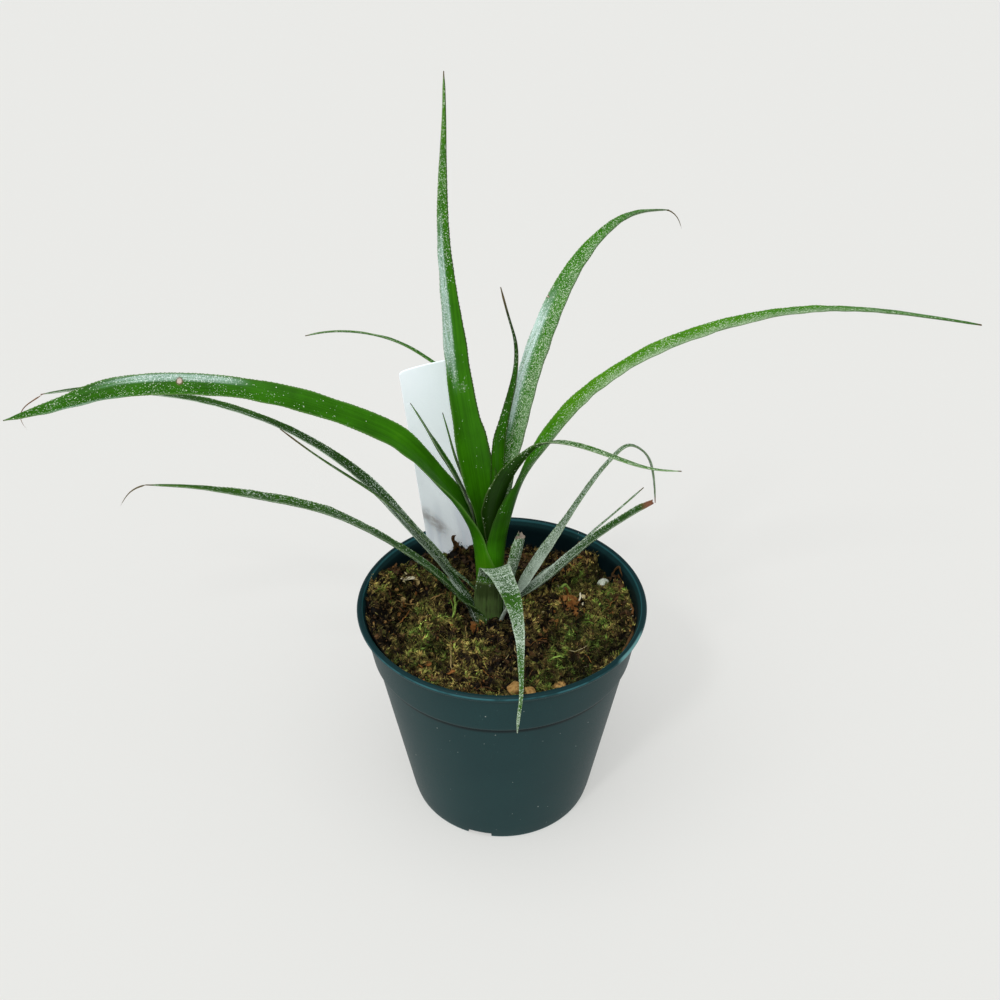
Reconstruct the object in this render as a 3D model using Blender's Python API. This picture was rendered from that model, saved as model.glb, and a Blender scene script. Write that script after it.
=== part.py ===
"""Potted terrestrial bromeliad: a nursery pot filled with mossy soil, and a small rosette.

Metres, +Z up. The origin is the middle of the pot's flat underside. The rosette's front
leaf hangs over the rim toward -Y, and its two longest leaves reach toward -X and +X.

Each leaf is a thick curved blade. It follows a smooth midrib through hand-chosen rows and
is a circular arc across: tight round the neck as a sheath, open and shallow along the
blade, and narrow at the tip.
"""
import math

import bmesh
import bpy
import numpy as np
from mathutils import Vector

MM = 0.001
CLEARANCE = 0.3 * MM

# Pot
POT_HEIGHT = 91.4 * MM
POT_BASE_RADIUS = 36.1 * MM
POT_STEP_RADIUS = 48.3 * MM
POT_STEP_HEIGHT = 71.6 * MM
BAND_BOTTOM_RADIUS = 49.3 * MM
BAND_TOP_RADIUS = 51.9 * MM
LIP_RADIUS = 54.0 * MM
LIP_HEIGHT = 2.4 * MM
LIP_ROUNDING = 0.7 * MM
STEP_ROUNDING = 0.9 * MM
POT_WALL = 1.1 * MM
POT_FLOOR = 1.5 * MM
BASE_ROUNDING = 1.2 * MM
POT_SIDES = 56
DRAIN_NOTCH_COUNT = 4
DRAIN_NOTCH_FIRST_ANGLE = 256.0
DRAIN_NOTCH_WIDTH = 9.5 * MM
DRAIN_NOTCH_HEIGHT = 2.6 * MM
DRAIN_NOTCH_DEPTH = 4.0 * MM

# Soil, with its moss-covered top
SOIL_LEVEL = 79.5 * MM
SOIL_SIDES = 44
SOIL_RINGS = 15
SOIL_EDGE_DROP = 4.0 * MM
NECK_HOLE_RADIUS = 7.2 * MM
NECK_HOLE_FLOOR = 78.5 * MM
STEM_HOLE_FLOOR = 62.0 * MM
# Each mound: x, y, height and spread, in mm
SOIL_MOUNDS = (
    (-4, 2, 2.6, 13),
    (36, 34, 4.5, 7),
    (-18, 38, 3.0, 8),
    (28, 12, 2.0, 8),
    (12, -14, 1.8, 9),
    (-26, -6, 1.6, 9),
    (44, 6, -3.0, 12),
    (8, 40, -1.5, 9),
    (-6, -38, -1.5, 12),
)
SOIL_LUMP = 0.55 * MM

# Rosette: its axis stands a little off the pot's
NECK = Vector((-4.5 * MM, 3.0 * MM, 0.0))
STEM_RADIUS = 2.6 * MM
STEM_FOOT = STEM_HOLE_FLOOR + CLEARANCE
STEM_TOP = 99.0 * MM
STEM_SIDES = 14
NECK_HOLE_SIDES = 28

# Plant tag
TAG_WIDTH = 20.0 * MM
TAG_LENGTH = 104.0 * MM
TAG_POINT_LENGTH = 14.0 * MM
TAG_POINT_HALF_WIDTH = 2.5 * MM
TAG_THICKNESS = 0.7 * MM
TAG_BOW = 0.7 * MM
TAG_TOP_LEFT = Vector((-35.9 * MM, 20.0 * MM, 174.8 * MM))
TAG_ACROSS = Vector((0.947, 0.296, 0.118))
TAG_UPWARD = Vector((-0.073, -0.176, 0.981))
TAG_SLOT_CLEARANCE = 0.4 * MM

# Small things that lie on the moss: x, y, height of the middle, size, in mm
CHIPS = {
    "bark_chip_front": (4.6, -37.5, 80.6, 2.6),
    "bark_chip_front_flat": (9.9, -39.0, 80.0, 2.3),
    "bark_chip_front_right": (20.4, -36.0, 80.2, 2.0),
    "perlite_grain": (40.2, 23.4, 80.0, 1.9),
}
CHIP_SEED = 7
CHIP_CORNERS = 14
CHIP_SHAPE = (1.0, 0.8, 0.6)
CHIP_POCKET_CLEARANCE = 0.6

# Leaves
STATION_SPACING = 3.4 * MM
EDGE_THICKNESS = 0.62 * MM
TOOTH_LENGTH = 0.4 * MM
TOOTHED_HALF_WIDTH = 1.4 * MM
SMOOTH_SHEATH_SHARE = 0.16

# Each row: out, side and up in mm from the neck's axis, along and across the leaf's
# heading; half width round the arc and radius of the arc, in mm; twist in degrees.
LEAVES = {
    "leaf_left_long": {
        "heading": 187, "columns": 5, "thickness": 0.9, "colour": "young",
        "rows": (
            (4.6, 0, 84, 6.6, 4.6, 0),
            (4.6, 0, 98, 6.8, 4.6, 0),
            (5.0, 0, 108, 7.0, 4.8, 0),
            (6.0, 0, 117, 6.8, 5.2, 0),
            (9.5, 0, 128, 5.9, 5.5, -8),
            (15.8, 0, 140, 4.8, 6, -18),
            (21.8, 0, 149.6, 4.3, 7, -24),
            (30.5, 0, 160, 4.7, 8, -28),
            (45, 0, 169, 4.5, 9, -30),
            (61, 0, 176.3, 4.4, 9, -30),
            (81, 0, 182.4, 4.1, 8, -30),
            (101, 0, 185, 4.3, 7, -30),
            (121, 0, 184.3, 4.3, 6, -28),
            (138.7, 0, 180, 2.8, 5, -24),
            (156, 0, 176, 0.4, 3, -20),
        ),
    },
    "leaf_far_right": {
        "heading": 5, "columns": 5, "thickness": 0.9, "colour": "young",
        "rows": (
            (4.6, 0, 84, 6.6, 4.6, 0),
            (4.6, 0, 98, 6.8, 4.6, 0),
            (5.0, 0, 108, 7.0, 4.8, 0),
            (5.9, -0.9, 118, 5.7, 5.2, -10),
            (8.5, -1.4, 131.3, 4.3, 5.6, -15),
            (13, -1.2, 144.5, 4.2, 6, -10),
            (19.8, -0.2, 155.1, 5.3, 6.5, 2),
            (29.5, 0, 169, 4.7, 7.5, 6),
            (44.4, 0, 182.6, 3.6, 8, 4),
            (60.5, 0, 191.2, 3.9, 8, 2),
            (78, 0, 197, 3.6, 7, 0),
            (98, 0, 201, 2.6, 6, 0),
            (120, 0, 201.3, 1.7, 5, 0),
            (142, 0, 198.5, 1.1, 4, 0),
            (166, 0, 194, 0.4, 2, 0),
        ),
    },
    "leaf_upright": {
        "heading": 130, "columns": 5, "thickness": 0.9, "colour": "young",
        "rows": (
            (3.3, 0, 86, 2.7, 3.3, 0),
            (3.3, 0, 100, 2.8, 3.3, 0),
            (3.4, 0, 114, 2.9, 3.4, 0),
            (4.4, 0.8, 126, 3.7, 4.4, 4),
            (6.8, 0.7, 138, 5.0, 5.5, -5),
            (11, 0, 152.6, 5.8, 7, -18),
            (15.2, 0, 169.7, 4.7, 8, -22),
            (18, 0, 187, 4.1, 8, -25),
            (20.3, 0, 203, 3.0, 7, -25),
            (22.4, 0, 220, 2.2, 6, -25),
            (22.5, 0, 236, 1.7, 5, -25),
            (21.4, 0, 251, 1.1, 4, -25),
            (20.3, 0, 264, 0.6, 3, -25),
            (20, 0, 275, 0.35, 2, -25),
        ),
    },
    "leaf_upper_right": {
        "heading": 50, "columns": 5, "thickness": 0.9, "colour": "young",
        "rows": (
            (3.3, 0, 86, 1.3, 3.3, 0),
            (3.3, 0, 102, 1.3, 3.3, 0),
            (4.3, 0, 116, 2.0, 4.0, 0),
            (7, 0, 129.5, 4.8, 5.5, 0),
            (10.5, 0, 143, 5.3, 7, 0),
            (14.8, 0, 155, 5.3, 8, 0),
            (21.2, 0, 170.7, 5.1, 8, 0),
            (29.8, 0, 186.5, 4.9, 8, 0),
            (39, 0, 198.8, 4.3, 7, 0),
            (47.5, 0, 206.5, 3.4, 6, 0),
            (58, 0, 212, 2.7, 5, 0),
            (69, 0, 215.3, 2.0, 4, 0),
            (81, 0, 215.7, 1.7, 3, 0),
            (93, 0, 213.9, 0.95, 2, 0),
            (105, 0, 211, 0.4, 2, 0),
        ),
    },
    "leaf_right_curled": {
        "heading": 335, "columns": 5, "thickness": 0.8, "colour": "young",
        "rows": (
            (3.3, 0, 88, 1.4, 3.3, 0),
            (3.3, 0, 108, 1.5, 3.3, 0),
            (3.4, -0.3, 122, 2.0, 3.2, -5),
            (4.4, -0.3, 134, 3.2, 3.6, 12),
            (6.6, 0, 142.3, 3.9, 4, 34),
            (10.6, 0, 150, 4.1, 4.5, 50),
            (14.6, 0, 156.3, 2.8, 4, 52),
            (20, 0, 161.2, 1.5, 3, 42),
            (27, 0, 163.3, 1.15, 2.5, 30),
            (36, 0, 163.4, 1.2, 2, 20),
            (49, 0, 161.8, 0.9, 2, 10),
            (58, 0, 161.3, 0.6, 2, 0),
            (68, 0, 163, 0.35, 2, 0),
        ),
    },
    "leaf_thin_back": {
        "heading": 60, "columns": 3, "thickness": 0.7, "colour": "young",
        "rows": (
            (1.3, 0, 103, 0.9, 1.6, 0),
            (1.8, -0.4, 117, 1.0, 2, 0),
            (4.5, -1.0, 130, 1.4, 3, -8),
            (7.0, -0.4, 140, 2.1, 3.5, 0),
            (7.7, 0, 150.3, 2.6, 3, 0),
            (11.2, 0, 161, 1.8, 3, 0),
            (16, 0, 170, 1.3, 2.5, 0),
            (18.6, 0, 177.8, 0.9, 2, 0),
            (18.4, 0, 186, 0.7, 2, 0),
            (14.8, 0, 195, 0.45, 2, 0),
            (8, 0, 210.5, 0.35, 2, 0),
        ),
    },
    "leaf_inner_left": {
        "heading": 180, "columns": 3, "thickness": 0.65, "colour": "young",
        "rows": (
            (5.0, 0, 119, 0.8, 4.5, 0),
            (6.1, 0, 126, 1.4, 4, 0),
            (9.4, 0, 136.5, 2.1, 3.5, 0),
            (13.5, 0, 146, 2.1, 3, 0),
            (17.2, 0, 153, 2.0, 2.5, 0),
            (21, 0, 161.5, 0.9, 2, 0),
            (26.3, 0, 172, 0.35, 2, 0),
        ),
    },
    "leaf_inner_sliver": {
        "heading": 165, "columns": 3, "thickness": 0.65, "colour": "young",
        "rows": (
            (6.1, -1.2, 127, 0.6, 2, 0),
            (9.4, -1.2, 138.5, 0.9, 2, 0),
            (12.2, -0.5, 147.6, 0.8, 2, 0),
            (14.3, 0, 157.3, 0.5, 2, 0),
            (16.4, 0, 166, 0.35, 2, 0),
        ),
    },
    "leaf_centre_spear": {
        "heading": 235, "columns": 3, "thickness": 0.8, "colour": "young",
        "rows": (
            (0.8, 0, 99.1, 0.8, 1.2, 0),
            (1.0, 0, 116, 1.1, 1.2, 0),
            (1.2, 0, 134, 0.4, 1.0, 0),
        ),
    },
    "leaf_back_left": {
        "heading": 112, "columns": 3, "thickness": 0.7, "colour": "young",
        "rows": (
            (5.8, 0, 82, 1.6, 5.7, 0),
            (6.0, 0, 98, 1.8, 5.5, 0),
            (8.5, -0.5, 113, 2.0, 4.5, 0),
            (14.5, -2, 131, 1.9, 3.5, 0),
            (21, -3.2, 146, 1.6, 3, 0),
            (26.7, -3.2, 157, 1.4, 2.5, 10),
            (34, 0, 165, 1.2, 2.5, 20),
            (40.7, 5.7, 169.5, 1.0, 2.5, 30),
            (47, 12.7, 174, 1.0, 2.5, 30),
            (54.5, 21.5, 176.7, 1.2, 2, 30),
            (61.5, 29.5, 176.8, 1.05, 2, 30),
            (67.7, 37, 175.5, 0.6, 2, 30),
            (75, 44.5, 172, 0.35, 2, 30),
        ),
    },
    "leaf_low_left_front": {
        "heading": 200, "columns": 3, "thickness": 0.8, "colour": "old",
        "rows": (
            (5.7, 0, 80, 1.4, 5.7, 0),
            (6.4, 0, 85.6, 1.6, 5.5, 0),
            (11.1, 0, 91.3, 2.9, 5, 0),
            (17.8, 0, 100.4, 4.1, 5, 0),
            (30, 0, 116, 3.3, 5, 0),
            (44, 0, 130, 2.9, 5, 0),
            (60, 0, 142.3, 3.2, 5, 0),
            (81, 0, 152.7, 2.6, 4, 0),
            (100, 0, 160.6, 1.0, 3, 0),
            (113, 0, 164.2, 0.35, 2, 0),
        ),
    },
    "leaf_low_left_back": {
        "heading": 168, "columns": 5, "thickness": 0.8, "colour": "old",
        "rows": (
            (5.7, 0, 80, 1.3, 5.7, 0),
            (7.1, 0, 85.6, 1.5, 5.5, 0),
            (12, 0, 92.3, 2.4, 5, 0),
            (17.8, 0, 101, 3.4, 5, 0),
            (29.3, 0, 115.4, 3.3, 5, 0),
            (40.8, 0, 129.3, 3.5, 5, 0),
            (52, 0, 140, 2.9, 5, 0),
            (62.5, 0, 147.5, 2.2, 5, 0),
            (85, 0, 157, 1.9, 4, 0),
            (106, 0, 161.2, 2.0, 4, 0),
            (133, 0, 161.8, 2.0, 3, 0),
            (153, 0, 160.4, 1.3, 2.5, 0),
            (170, 0, 156.5, 0.4, 2, 0),
        ),
    },
    "leaf_low_left_thin": {
        "heading": 179, "columns": 3, "thickness": 0.65, "colour": "old",
        "rows": (
            (5.7, 0, 93, 0.8, 5, 0),
            (8.3, 0, 96.3, 0.9, 3, 0),
            (13, 0, 101, 1.0, 3, 0),
            (20, 0, 111, 1.0, 2.5, 0),
            (27, 0, 120.5, 0.95, 2, 0),
            (37, 0, 132, 0.9, 2, 0),
            (48, 0, 141.3, 0.75, 2, 0),
            (60.7, 0, 151.5, 0.45, 2, 0),
            (71.5, 0, 161.4, 0.35, 2, 0),
        ),
    },
    "leaf_front_drooping": {
        "heading": 285, "columns": 5, "thickness": 0.8, "colour": "old",
        "rows": (
            (5.6, -1.2, 80, 1.9, 5.7, 0),
            (5.7, -1.2, 90, 2.5, 5.7, 0),
            (5.9, -1.0, 99, 3.8, 6, 0),
            (6.6, -0.6, 105.5, 4.9, 9, 0),
            (8.6, -0.2, 108.6, 5.3, 14, 0),
            (12.6, 0.7, 108.9, 4.4, 12, 0),
            (17.9, 1.3, 108, 3.8, 9, 0),
            (22.7, 1.7, 107, 3.4, 7, 0),
            (31.4, 1.4, 104.3, 2.5, 6, 0),
            (40.4, 0.2, 101.2, 1.6, 5, 0),
            (48.2, -1.7, 98.7, 1.1, 4, 0),
            (55.5, -3.6, 95.9, 0.8, 3, 0),
            (59.9, -5.0, 92.8, 0.65, 3, 0),
            (61.9, -6.2, 88, 0.6, 3, 0),
            (62.7, -6.9, 80.8, 0.35, 3, 0),
        ),
    },
    "leaf_cut_stub": {
        "heading": 345, "columns": 5, "thickness": 0.8, "colour": "old",
        "rows": (
            (5.9, 0, 81, 1.1, 3.0, 0),
            (6.2, 0, 87.5, 1.5, 2.3, 0),
            (7.6, 0, 94, 3.2, 2.0, 0),
            (10.0, 0, 104.4, 4.2, 2.0, 0),
            (11.9, 0, 112.9, 4.2, 1.9, 0),
            (12.9, 0, 119.3, 3.5, 1.8, 0),
        ),
    },
    "leaf_right_hooked": {
        "heading": 22, "columns": 5, "thickness": 0.8, "colour": "old",
        "rows": (
            (2.0, -5.6, 80.5, 1.1, 5.7, -70),
            (3.3, -6.9, 86, 1.3, 6, -60),
            (8.3, -6.5, 92.7, 2.3, 6, -20),
            (13.3, -5.6, 98.8, 3.3, 6, 0),
            (20.4, -5.4, 109.3, 3.0, 6, 0),
            (27.6, -5.4, 120, 1.9, 5, 0),
            (37, -5.4, 133.8, 1.25, 4, 0),
            (46.2, -5.4, 144, 1.0, 3, 0),
            (51.5, -5.4, 147, 0.9, 3, 0),
            (56, -5.4, 145, 1.0, 3, 0),
            (60, -5.4, 140.5, 1.0, 3, 0),
            (62.8, -5.4, 133, 0.7, 3, 0),
            (65, -5.4, 119, 0.35, 3, 0),
        ),
    },
    "leaf_right_cut": {
        "heading": 355, "columns": 5, "thickness": 0.8, "colour": "old",
        "rows": (
            (5.8, 1.3, 80, 0.9, 5, 13),
            (6.7, 1.5, 86, 1.0, 5, 13),
            (11, 0.6, 90.3, 2.3, 4, 6),
            (19.1, 0, 96.9, 3.6, 4, 0),
            (25.3, 0, 103.6, 3.7, 4, 0),
            (36.7, 0, 117.2, 2.9, 4, 0),
            (47, 0, 127, 2.3, 3.5, 0),
            (53, 0, 132, 2.1, 3, 0),
            (57.5, 0, 135.3, 1.4, 2.5, 0),
        ),
    },
    "leaf_right_thin": {
        "heading": 14, "columns": 3, "thickness": 0.65, "colour": "old",
        "rows": (
            (5.9, 1.3, 81, 0.6, 5, 12),
            (6.9, 1.3, 86, 0.8, 4, 12),
            (13, 0.4, 88.8, 0.9, 3, 0),
            (19, 0, 95.4, 0.95, 3, 0),
            (26.4, 0, 100.1, 0.95, 3, 0),
            (32.7, 0, 105.3, 0.85, 3, 0),
            (39.8, 0, 112.8, 0.6, 3, 0),
            (44.8, 0, 117.2, 0.45, 3, 0),
            (58.4, 0, 129.2, 0.35, 3, 0),
        ),
    },
}


def clear_scene():
    for item in list(bpy.data.objects):
        bpy.data.objects.remove(item, do_unlink=True)


def make_material(name, colour, roughness, specular=0.5):
    material = bpy.data.materials.new(name)
    material.use_nodes = True
    surface = material.node_tree.nodes["Principled BSDF"]
    surface.inputs["Base Color"].default_value = (*colour, 1.0)
    surface.inputs["Roughness"].default_value = roughness
    surface.inputs["Specular IOR Level"].default_value = specular
    material.diffuse_color = (*colour, 1.0)
    return material


def add_object(name, body, material, smooth_angle=None):
    """Puts a bmesh into the scene as one named object."""
    bmesh.ops.recalc_face_normals(body, faces=body.faces)
    mesh = bpy.data.meshes.new(name)
    body.to_mesh(mesh)
    body.free()
    mesh.materials.append(material)
    if smooth_angle is not None:
        mesh.shade_smooth()
        mesh.set_sharp_from_angle(angle=math.radians(smooth_angle))
    item = bpy.data.objects.new(name, mesh)
    bpy.context.scene.collection.objects.link(item)
    return item


def body_from(points, faces):
    body = bmesh.new()
    corners = [body.verts.new(point) for point in points]
    for face in faces:
        body.faces.new([corners[index] for index in face])
    return body


def cut(item, cutter):
    """Subtracts a cutter, which stays out of the model."""
    cutter.hide_render = True
    cutter.display_type = "WIRE"
    cutter.hide_set(True)
    boolean = item.modifiers.new("cut by " + cutter.name, "BOOLEAN")
    boolean.operation = "DIFFERENCE"
    boolean.object = cutter


def turned(profile, sides):
    """A closed solid from a profile of (radius, height) that starts and ends on the axis."""
    angles = np.linspace(0.0, 2.0 * math.pi, sides, endpoint=False)
    points = [(0.0, 0.0, profile[0][1])]
    for radius, height in profile[1:-1]:
        points += [(radius * math.cos(a), radius * math.sin(a), height) for a in angles]
    points.append((0.0, 0.0, profile[-1][1]))
    rings = len(profile) - 2
    last = len(points) - 1
    faces = []
    for side in range(sides):
        following = (side + 1) % sides
        faces.append((0, 1 + following, 1 + side))
        for ring in range(rings - 1):
            lower = 1 + ring * sides
            upper = lower + sides
            faces.append((lower + side, lower + following, upper + following, upper + side))
        top = 1 + (rings - 1) * sides
        faces.append((top + side, top + following, last))
    return body_from(points, faces)


def wall_radius(height):
    """The pot's inner radius at a height."""
    if height < POT_STEP_HEIGHT:
        fraction = height / POT_STEP_HEIGHT
        outer = POT_BASE_RADIUS + fraction * (POT_STEP_RADIUS - POT_BASE_RADIUS)
    else:
        fraction = (height - POT_STEP_HEIGHT) / (POT_HEIGHT - LIP_HEIGHT - POT_STEP_HEIGHT)
        outer = BAND_BOTTOM_RADIUS + fraction * (BAND_TOP_RADIUS - BAND_BOTTOM_RADIUS)
    return outer - POT_WALL


def make_pot(material):
    lip_bottom = POT_HEIGHT - LIP_HEIGHT
    lip_inner = BAND_TOP_RADIUS - 0.6 * POT_WALL
    band_bottom = POT_STEP_HEIGHT + 0.5 * STEP_ROUNDING
    foot_inner = POT_BASE_RADIUS - 2.0 * POT_WALL
    profile = [
        (0.0, 0.0),
        (POT_BASE_RADIUS - BASE_ROUNDING, 0.0),
        (POT_BASE_RADIUS - 0.3 * BASE_ROUNDING, 0.3 * BASE_ROUNDING),
        (POT_BASE_RADIUS + 0.2 * BASE_ROUNDING, BASE_ROUNDING),
        (POT_STEP_RADIUS, POT_STEP_HEIGHT - STEP_ROUNDING),
        (BAND_BOTTOM_RADIUS - 0.2 * STEP_ROUNDING, POT_STEP_HEIGHT - 0.3 * STEP_ROUNDING),
        (BAND_BOTTOM_RADIUS, band_bottom),
        (BAND_TOP_RADIUS, lip_bottom - 0.5 * LIP_ROUNDING),
        (LIP_RADIUS - LIP_ROUNDING, lip_bottom),
        (LIP_RADIUS, lip_bottom + LIP_ROUNDING),
        (LIP_RADIUS, POT_HEIGHT - LIP_ROUNDING),
        (LIP_RADIUS - LIP_ROUNDING, POT_HEIGHT),
        (lip_inner + 0.5 * LIP_ROUNDING, POT_HEIGHT),
        (lip_inner, POT_HEIGHT - 0.7 * LIP_ROUNDING),
        (BAND_TOP_RADIUS - POT_WALL, lip_bottom - POT_WALL),
        (BAND_BOTTOM_RADIUS - POT_WALL, band_bottom),
        (POT_STEP_RADIUS - POT_WALL, POT_STEP_HEIGHT - POT_WALL),
        (foot_inner + BASE_ROUNDING, POT_FLOOR + BASE_ROUNDING),
        (foot_inner, POT_FLOOR),
        (0.0, POT_FLOOR),
    ]
    pot = add_object("pot", turned(profile, POT_SIDES), material, smooth_angle=35)
    for number in range(DRAIN_NOTCH_COUNT):
        angle = math.radians(DRAIN_NOTCH_FIRST_ANGLE + number * 360.0 / DRAIN_NOTCH_COUNT)
        notch = drain_notch(number, angle, material)
        cut(pot, notch)
    return pot


def drain_notch(number, angle, material):
    """A block across the pot's bottom corner, as wide as a drain slot."""
    body = bmesh.new()
    bmesh.ops.create_cube(body, size=1.0)
    reach = 2.0 * DRAIN_NOTCH_DEPTH
    bmesh.ops.scale(body, vec=(reach, DRAIN_NOTCH_WIDTH, 2.0 * DRAIN_NOTCH_HEIGHT), verts=body.verts)
    notch = add_object("cutter_drain_%d" % (number + 1), body, material)
    notch.location = (POT_BASE_RADIUS * math.cos(angle), POT_BASE_RADIUS * math.sin(angle), 0.0)
    notch.rotation_euler = (0.0, 0.0, angle)
    return notch


def soil_height(x, y):
    """Level plus mounds plus small lumps: sum of h exp(-d^2 / s^2), and three sine waves."""
    height = SOIL_LEVEL
    for mound_x, mound_y, rise, spread in SOIL_MOUNDS:
        distance = (x - mound_x * MM) ** 2 + (y - mound_y * MM) ** 2
        height += rise * MM * math.exp(-distance / (spread * MM) ** 2)
    lumps = math.sin(640 * x + 1.3) * math.sin(710 * y) + math.sin(1130 * x - 900 * y + 0.7)
    return height + SOIL_LUMP * (lumps + 0.6 * math.sin(1500 * y + 480 * x))


def make_soil(material):
    foot = POT_FLOOR + CLEARANCE
    foot_radius = POT_BASE_RADIUS - 2.0 * POT_WALL - 2.0 * CLEARANCE
    below_step = POT_STEP_HEIGHT - 1.5 * POT_WALL
    above_step = POT_STEP_HEIGHT + POT_WALL
    top_radius = wall_radius(SOIL_LEVEL - SOIL_EDGE_DROP) - CLEARANCE
    angles = np.linspace(0.0, 2.0 * math.pi, SOIL_SIDES, endpoint=False)
    # Each ring: radius and height, where None follows the soil's own surface
    rings = [
        (foot_radius, foot),
        (foot_radius + BASE_ROUNDING, foot + 2.0 * BASE_ROUNDING),
        (wall_radius(below_step) - CLEARANCE, below_step),
        (wall_radius(POT_STEP_HEIGHT + CLEARANCE) - CLEARANCE, above_step),
    ]
    rings += [(top_radius * (1.0 - ring / SOIL_RINGS), None) for ring in range(SOIL_RINGS)]
    points = [(0.0, 0.0, foot)]
    for radius, height in rings:
        for angle in angles:
            x = radius * math.cos(angle)
            y = radius * math.sin(angle)
            points.append((x, y, soil_height(x, y) if height is None else height))
    points.append((0.0, 0.0, soil_height(0.0, 0.0)))
    last = len(points) - 1
    faces = []
    for side in range(SOIL_SIDES):
        following = (side + 1) % SOIL_SIDES
        faces.append((0, 1 + following, 1 + side))
        for ring in range(len(rings) - 1):
            lower = 1 + ring * SOIL_SIDES
            upper = lower + SOIL_SIDES
            faces.append((lower + side, lower + following, upper + following))
            faces.append((lower + side, upper + following, upper + side))
        top = 1 + (len(rings) - 1) * SOIL_SIDES
        faces.append((top + side, top + following, last))
    return add_object("soil_and_moss", body_from(points, faces), material, smooth_angle=60)


def make_stem(material):
    profile = [
        (0.0, 0.0),
        (0.7 * STEM_RADIUS, 0.0),
        (STEM_RADIUS, 1.5 * MM),
        (STEM_RADIUS, STEM_TOP - STEM_FOOT - 5.0 * MM),
        (0.5 * STEM_RADIUS, STEM_TOP - STEM_FOOT - 0.6 * MM),
        (0.0, STEM_TOP - STEM_FOOT),
    ]
    stem = add_object("stem", turned(profile, STEM_SIDES), material, smooth_angle=50)
    stem.location = NECK + Vector((0.0, 0.0, STEM_FOOT))
    return stem


def neck_hole(material):
    """A stepped hole in the soil: wide for the leaf bases, and narrow below for the stem."""
    stem_hole_radius = STEM_RADIUS + CLEARANCE
    profile = [
        (0.0, STEM_HOLE_FLOOR),
        (stem_hole_radius, STEM_HOLE_FLOOR),
        (stem_hole_radius, NECK_HOLE_FLOOR),
        (NECK_HOLE_RADIUS, NECK_HOLE_FLOOR),
        (NECK_HOLE_RADIUS, POT_HEIGHT),
        (0.0, POT_HEIGHT),
    ]
    hole = add_object("cutter_neck_hole", turned(profile, NECK_HOLE_SIDES), material)
    hole.location = NECK
    return hole


def tag_body(grow):
    """The tag's slat, bowed a little across, pointed at its foot and grown on every side."""
    facing = TAG_UPWARD.cross(TAG_ACROSS).normalized()
    half = TAG_WIDTH / 2 + grow
    thick = TAG_THICKNESS / 2 + grow
    shoulder = TAG_LENGTH - TAG_POINT_LENGTH
    levels = ((-grow, half), (shoulder, half), (TAG_LENGTH + grow, TAG_POINT_HALF_WIDTH + grow))
    columns = (-1.0, -0.5, 0.0, 0.5, 1.0)
    middle_top = TAG_TOP_LEFT + TAG_ACROSS * (TAG_WIDTH / 2)
    points = []
    for down, half_width in levels:
        for sign in (1.0, -1.0):
            for column in columns[::int(sign)]:
                bow = TAG_BOW * (1.0 - (column * half_width / half) ** 2)
                offset = bow + sign * thick
                along = TAG_ACROSS * (column * half_width) - TAG_UPWARD * down
                points.append(middle_top + along + facing * offset)
    around = 2 * len(columns)
    faces = [tuple(range(around)), tuple(range(around * 2, around * 3))]
    for level in range(len(levels) - 1):
        for index in range(around):
            following = (index + 1) % around
            lower = level * around
            upper = lower + around
            faces.append((lower + index, lower + following, upper + following, upper + index))
    return body_from(points, faces)


def chip_body(centre, size, generator):
    """A small angular crumb: the hull of a few seeded corners, flatter than wide."""
    corners = generator.normal(size=(CHIP_CORNERS, 3))
    corners /= np.linalg.norm(corners, axis=1)[:, None]
    corners *= np.array(CHIP_SHAPE) * size
    body = bmesh.new()
    for corner in corners:
        body.verts.new(Vector(corner) + centre)
    hull = bmesh.ops.convex_hull(body, input=body.verts)
    loose = [item for item in hull["geom_interior"] if isinstance(item, bmesh.types.BMVert)]
    bmesh.ops.delete(body, geom=loose, context="VERTS")
    return body


def smooth_path(points, spacing):
    """Even points along the natural cubic spline through the rows, with their knot values."""
    chords = np.linalg.norm(np.diff(points, axis=0), axis=1)
    knots = np.concatenate([[0.0], np.cumsum(chords)])
    count = len(points)
    system = np.eye(count)
    right = np.zeros_like(points)
    for i in range(1, count - 1):
        system[i, i - 1:i + 2] = (chords[i - 1], 2 * (chords[i - 1] + chords[i]), chords[i])
        slopes = (points[i + 1] - points[i]) / chords[i] - (points[i] - points[i - 1]) / chords[i - 1]
        right[i] = 6 * slopes
    bend = np.linalg.solve(system, right)
    dense = np.linspace(0.0, knots[-1], 40 * count)
    span = np.clip(np.searchsorted(knots, dense, side="right") - 1, 0, count - 2)
    ahead = (knots[span + 1] - dense)[:, None]
    behind = (dense - knots[span])[:, None]
    length = chords[span][:, None]
    curve = (bend[span] * ahead ** 3 + bend[span + 1] * behind ** 3) / (6 * length)
    curve += (points[span] / length - bend[span] * length / 6) * ahead
    curve += (points[span + 1] / length - bend[span + 1] * length / 6) * behind
    travelled = np.concatenate([[0.0], np.cumsum(np.linalg.norm(np.diff(curve, axis=0), axis=1))])
    stations = max(6, int(round(travelled[-1] / spacing)) + 1)
    wanted = np.linspace(0.0, travelled[-1], stations)
    where = np.interp(wanted, travelled, dense)
    path = np.stack([np.interp(wanted, travelled, curve[:, axis]) for axis in range(3)], axis=1)
    return path, where, knots


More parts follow.
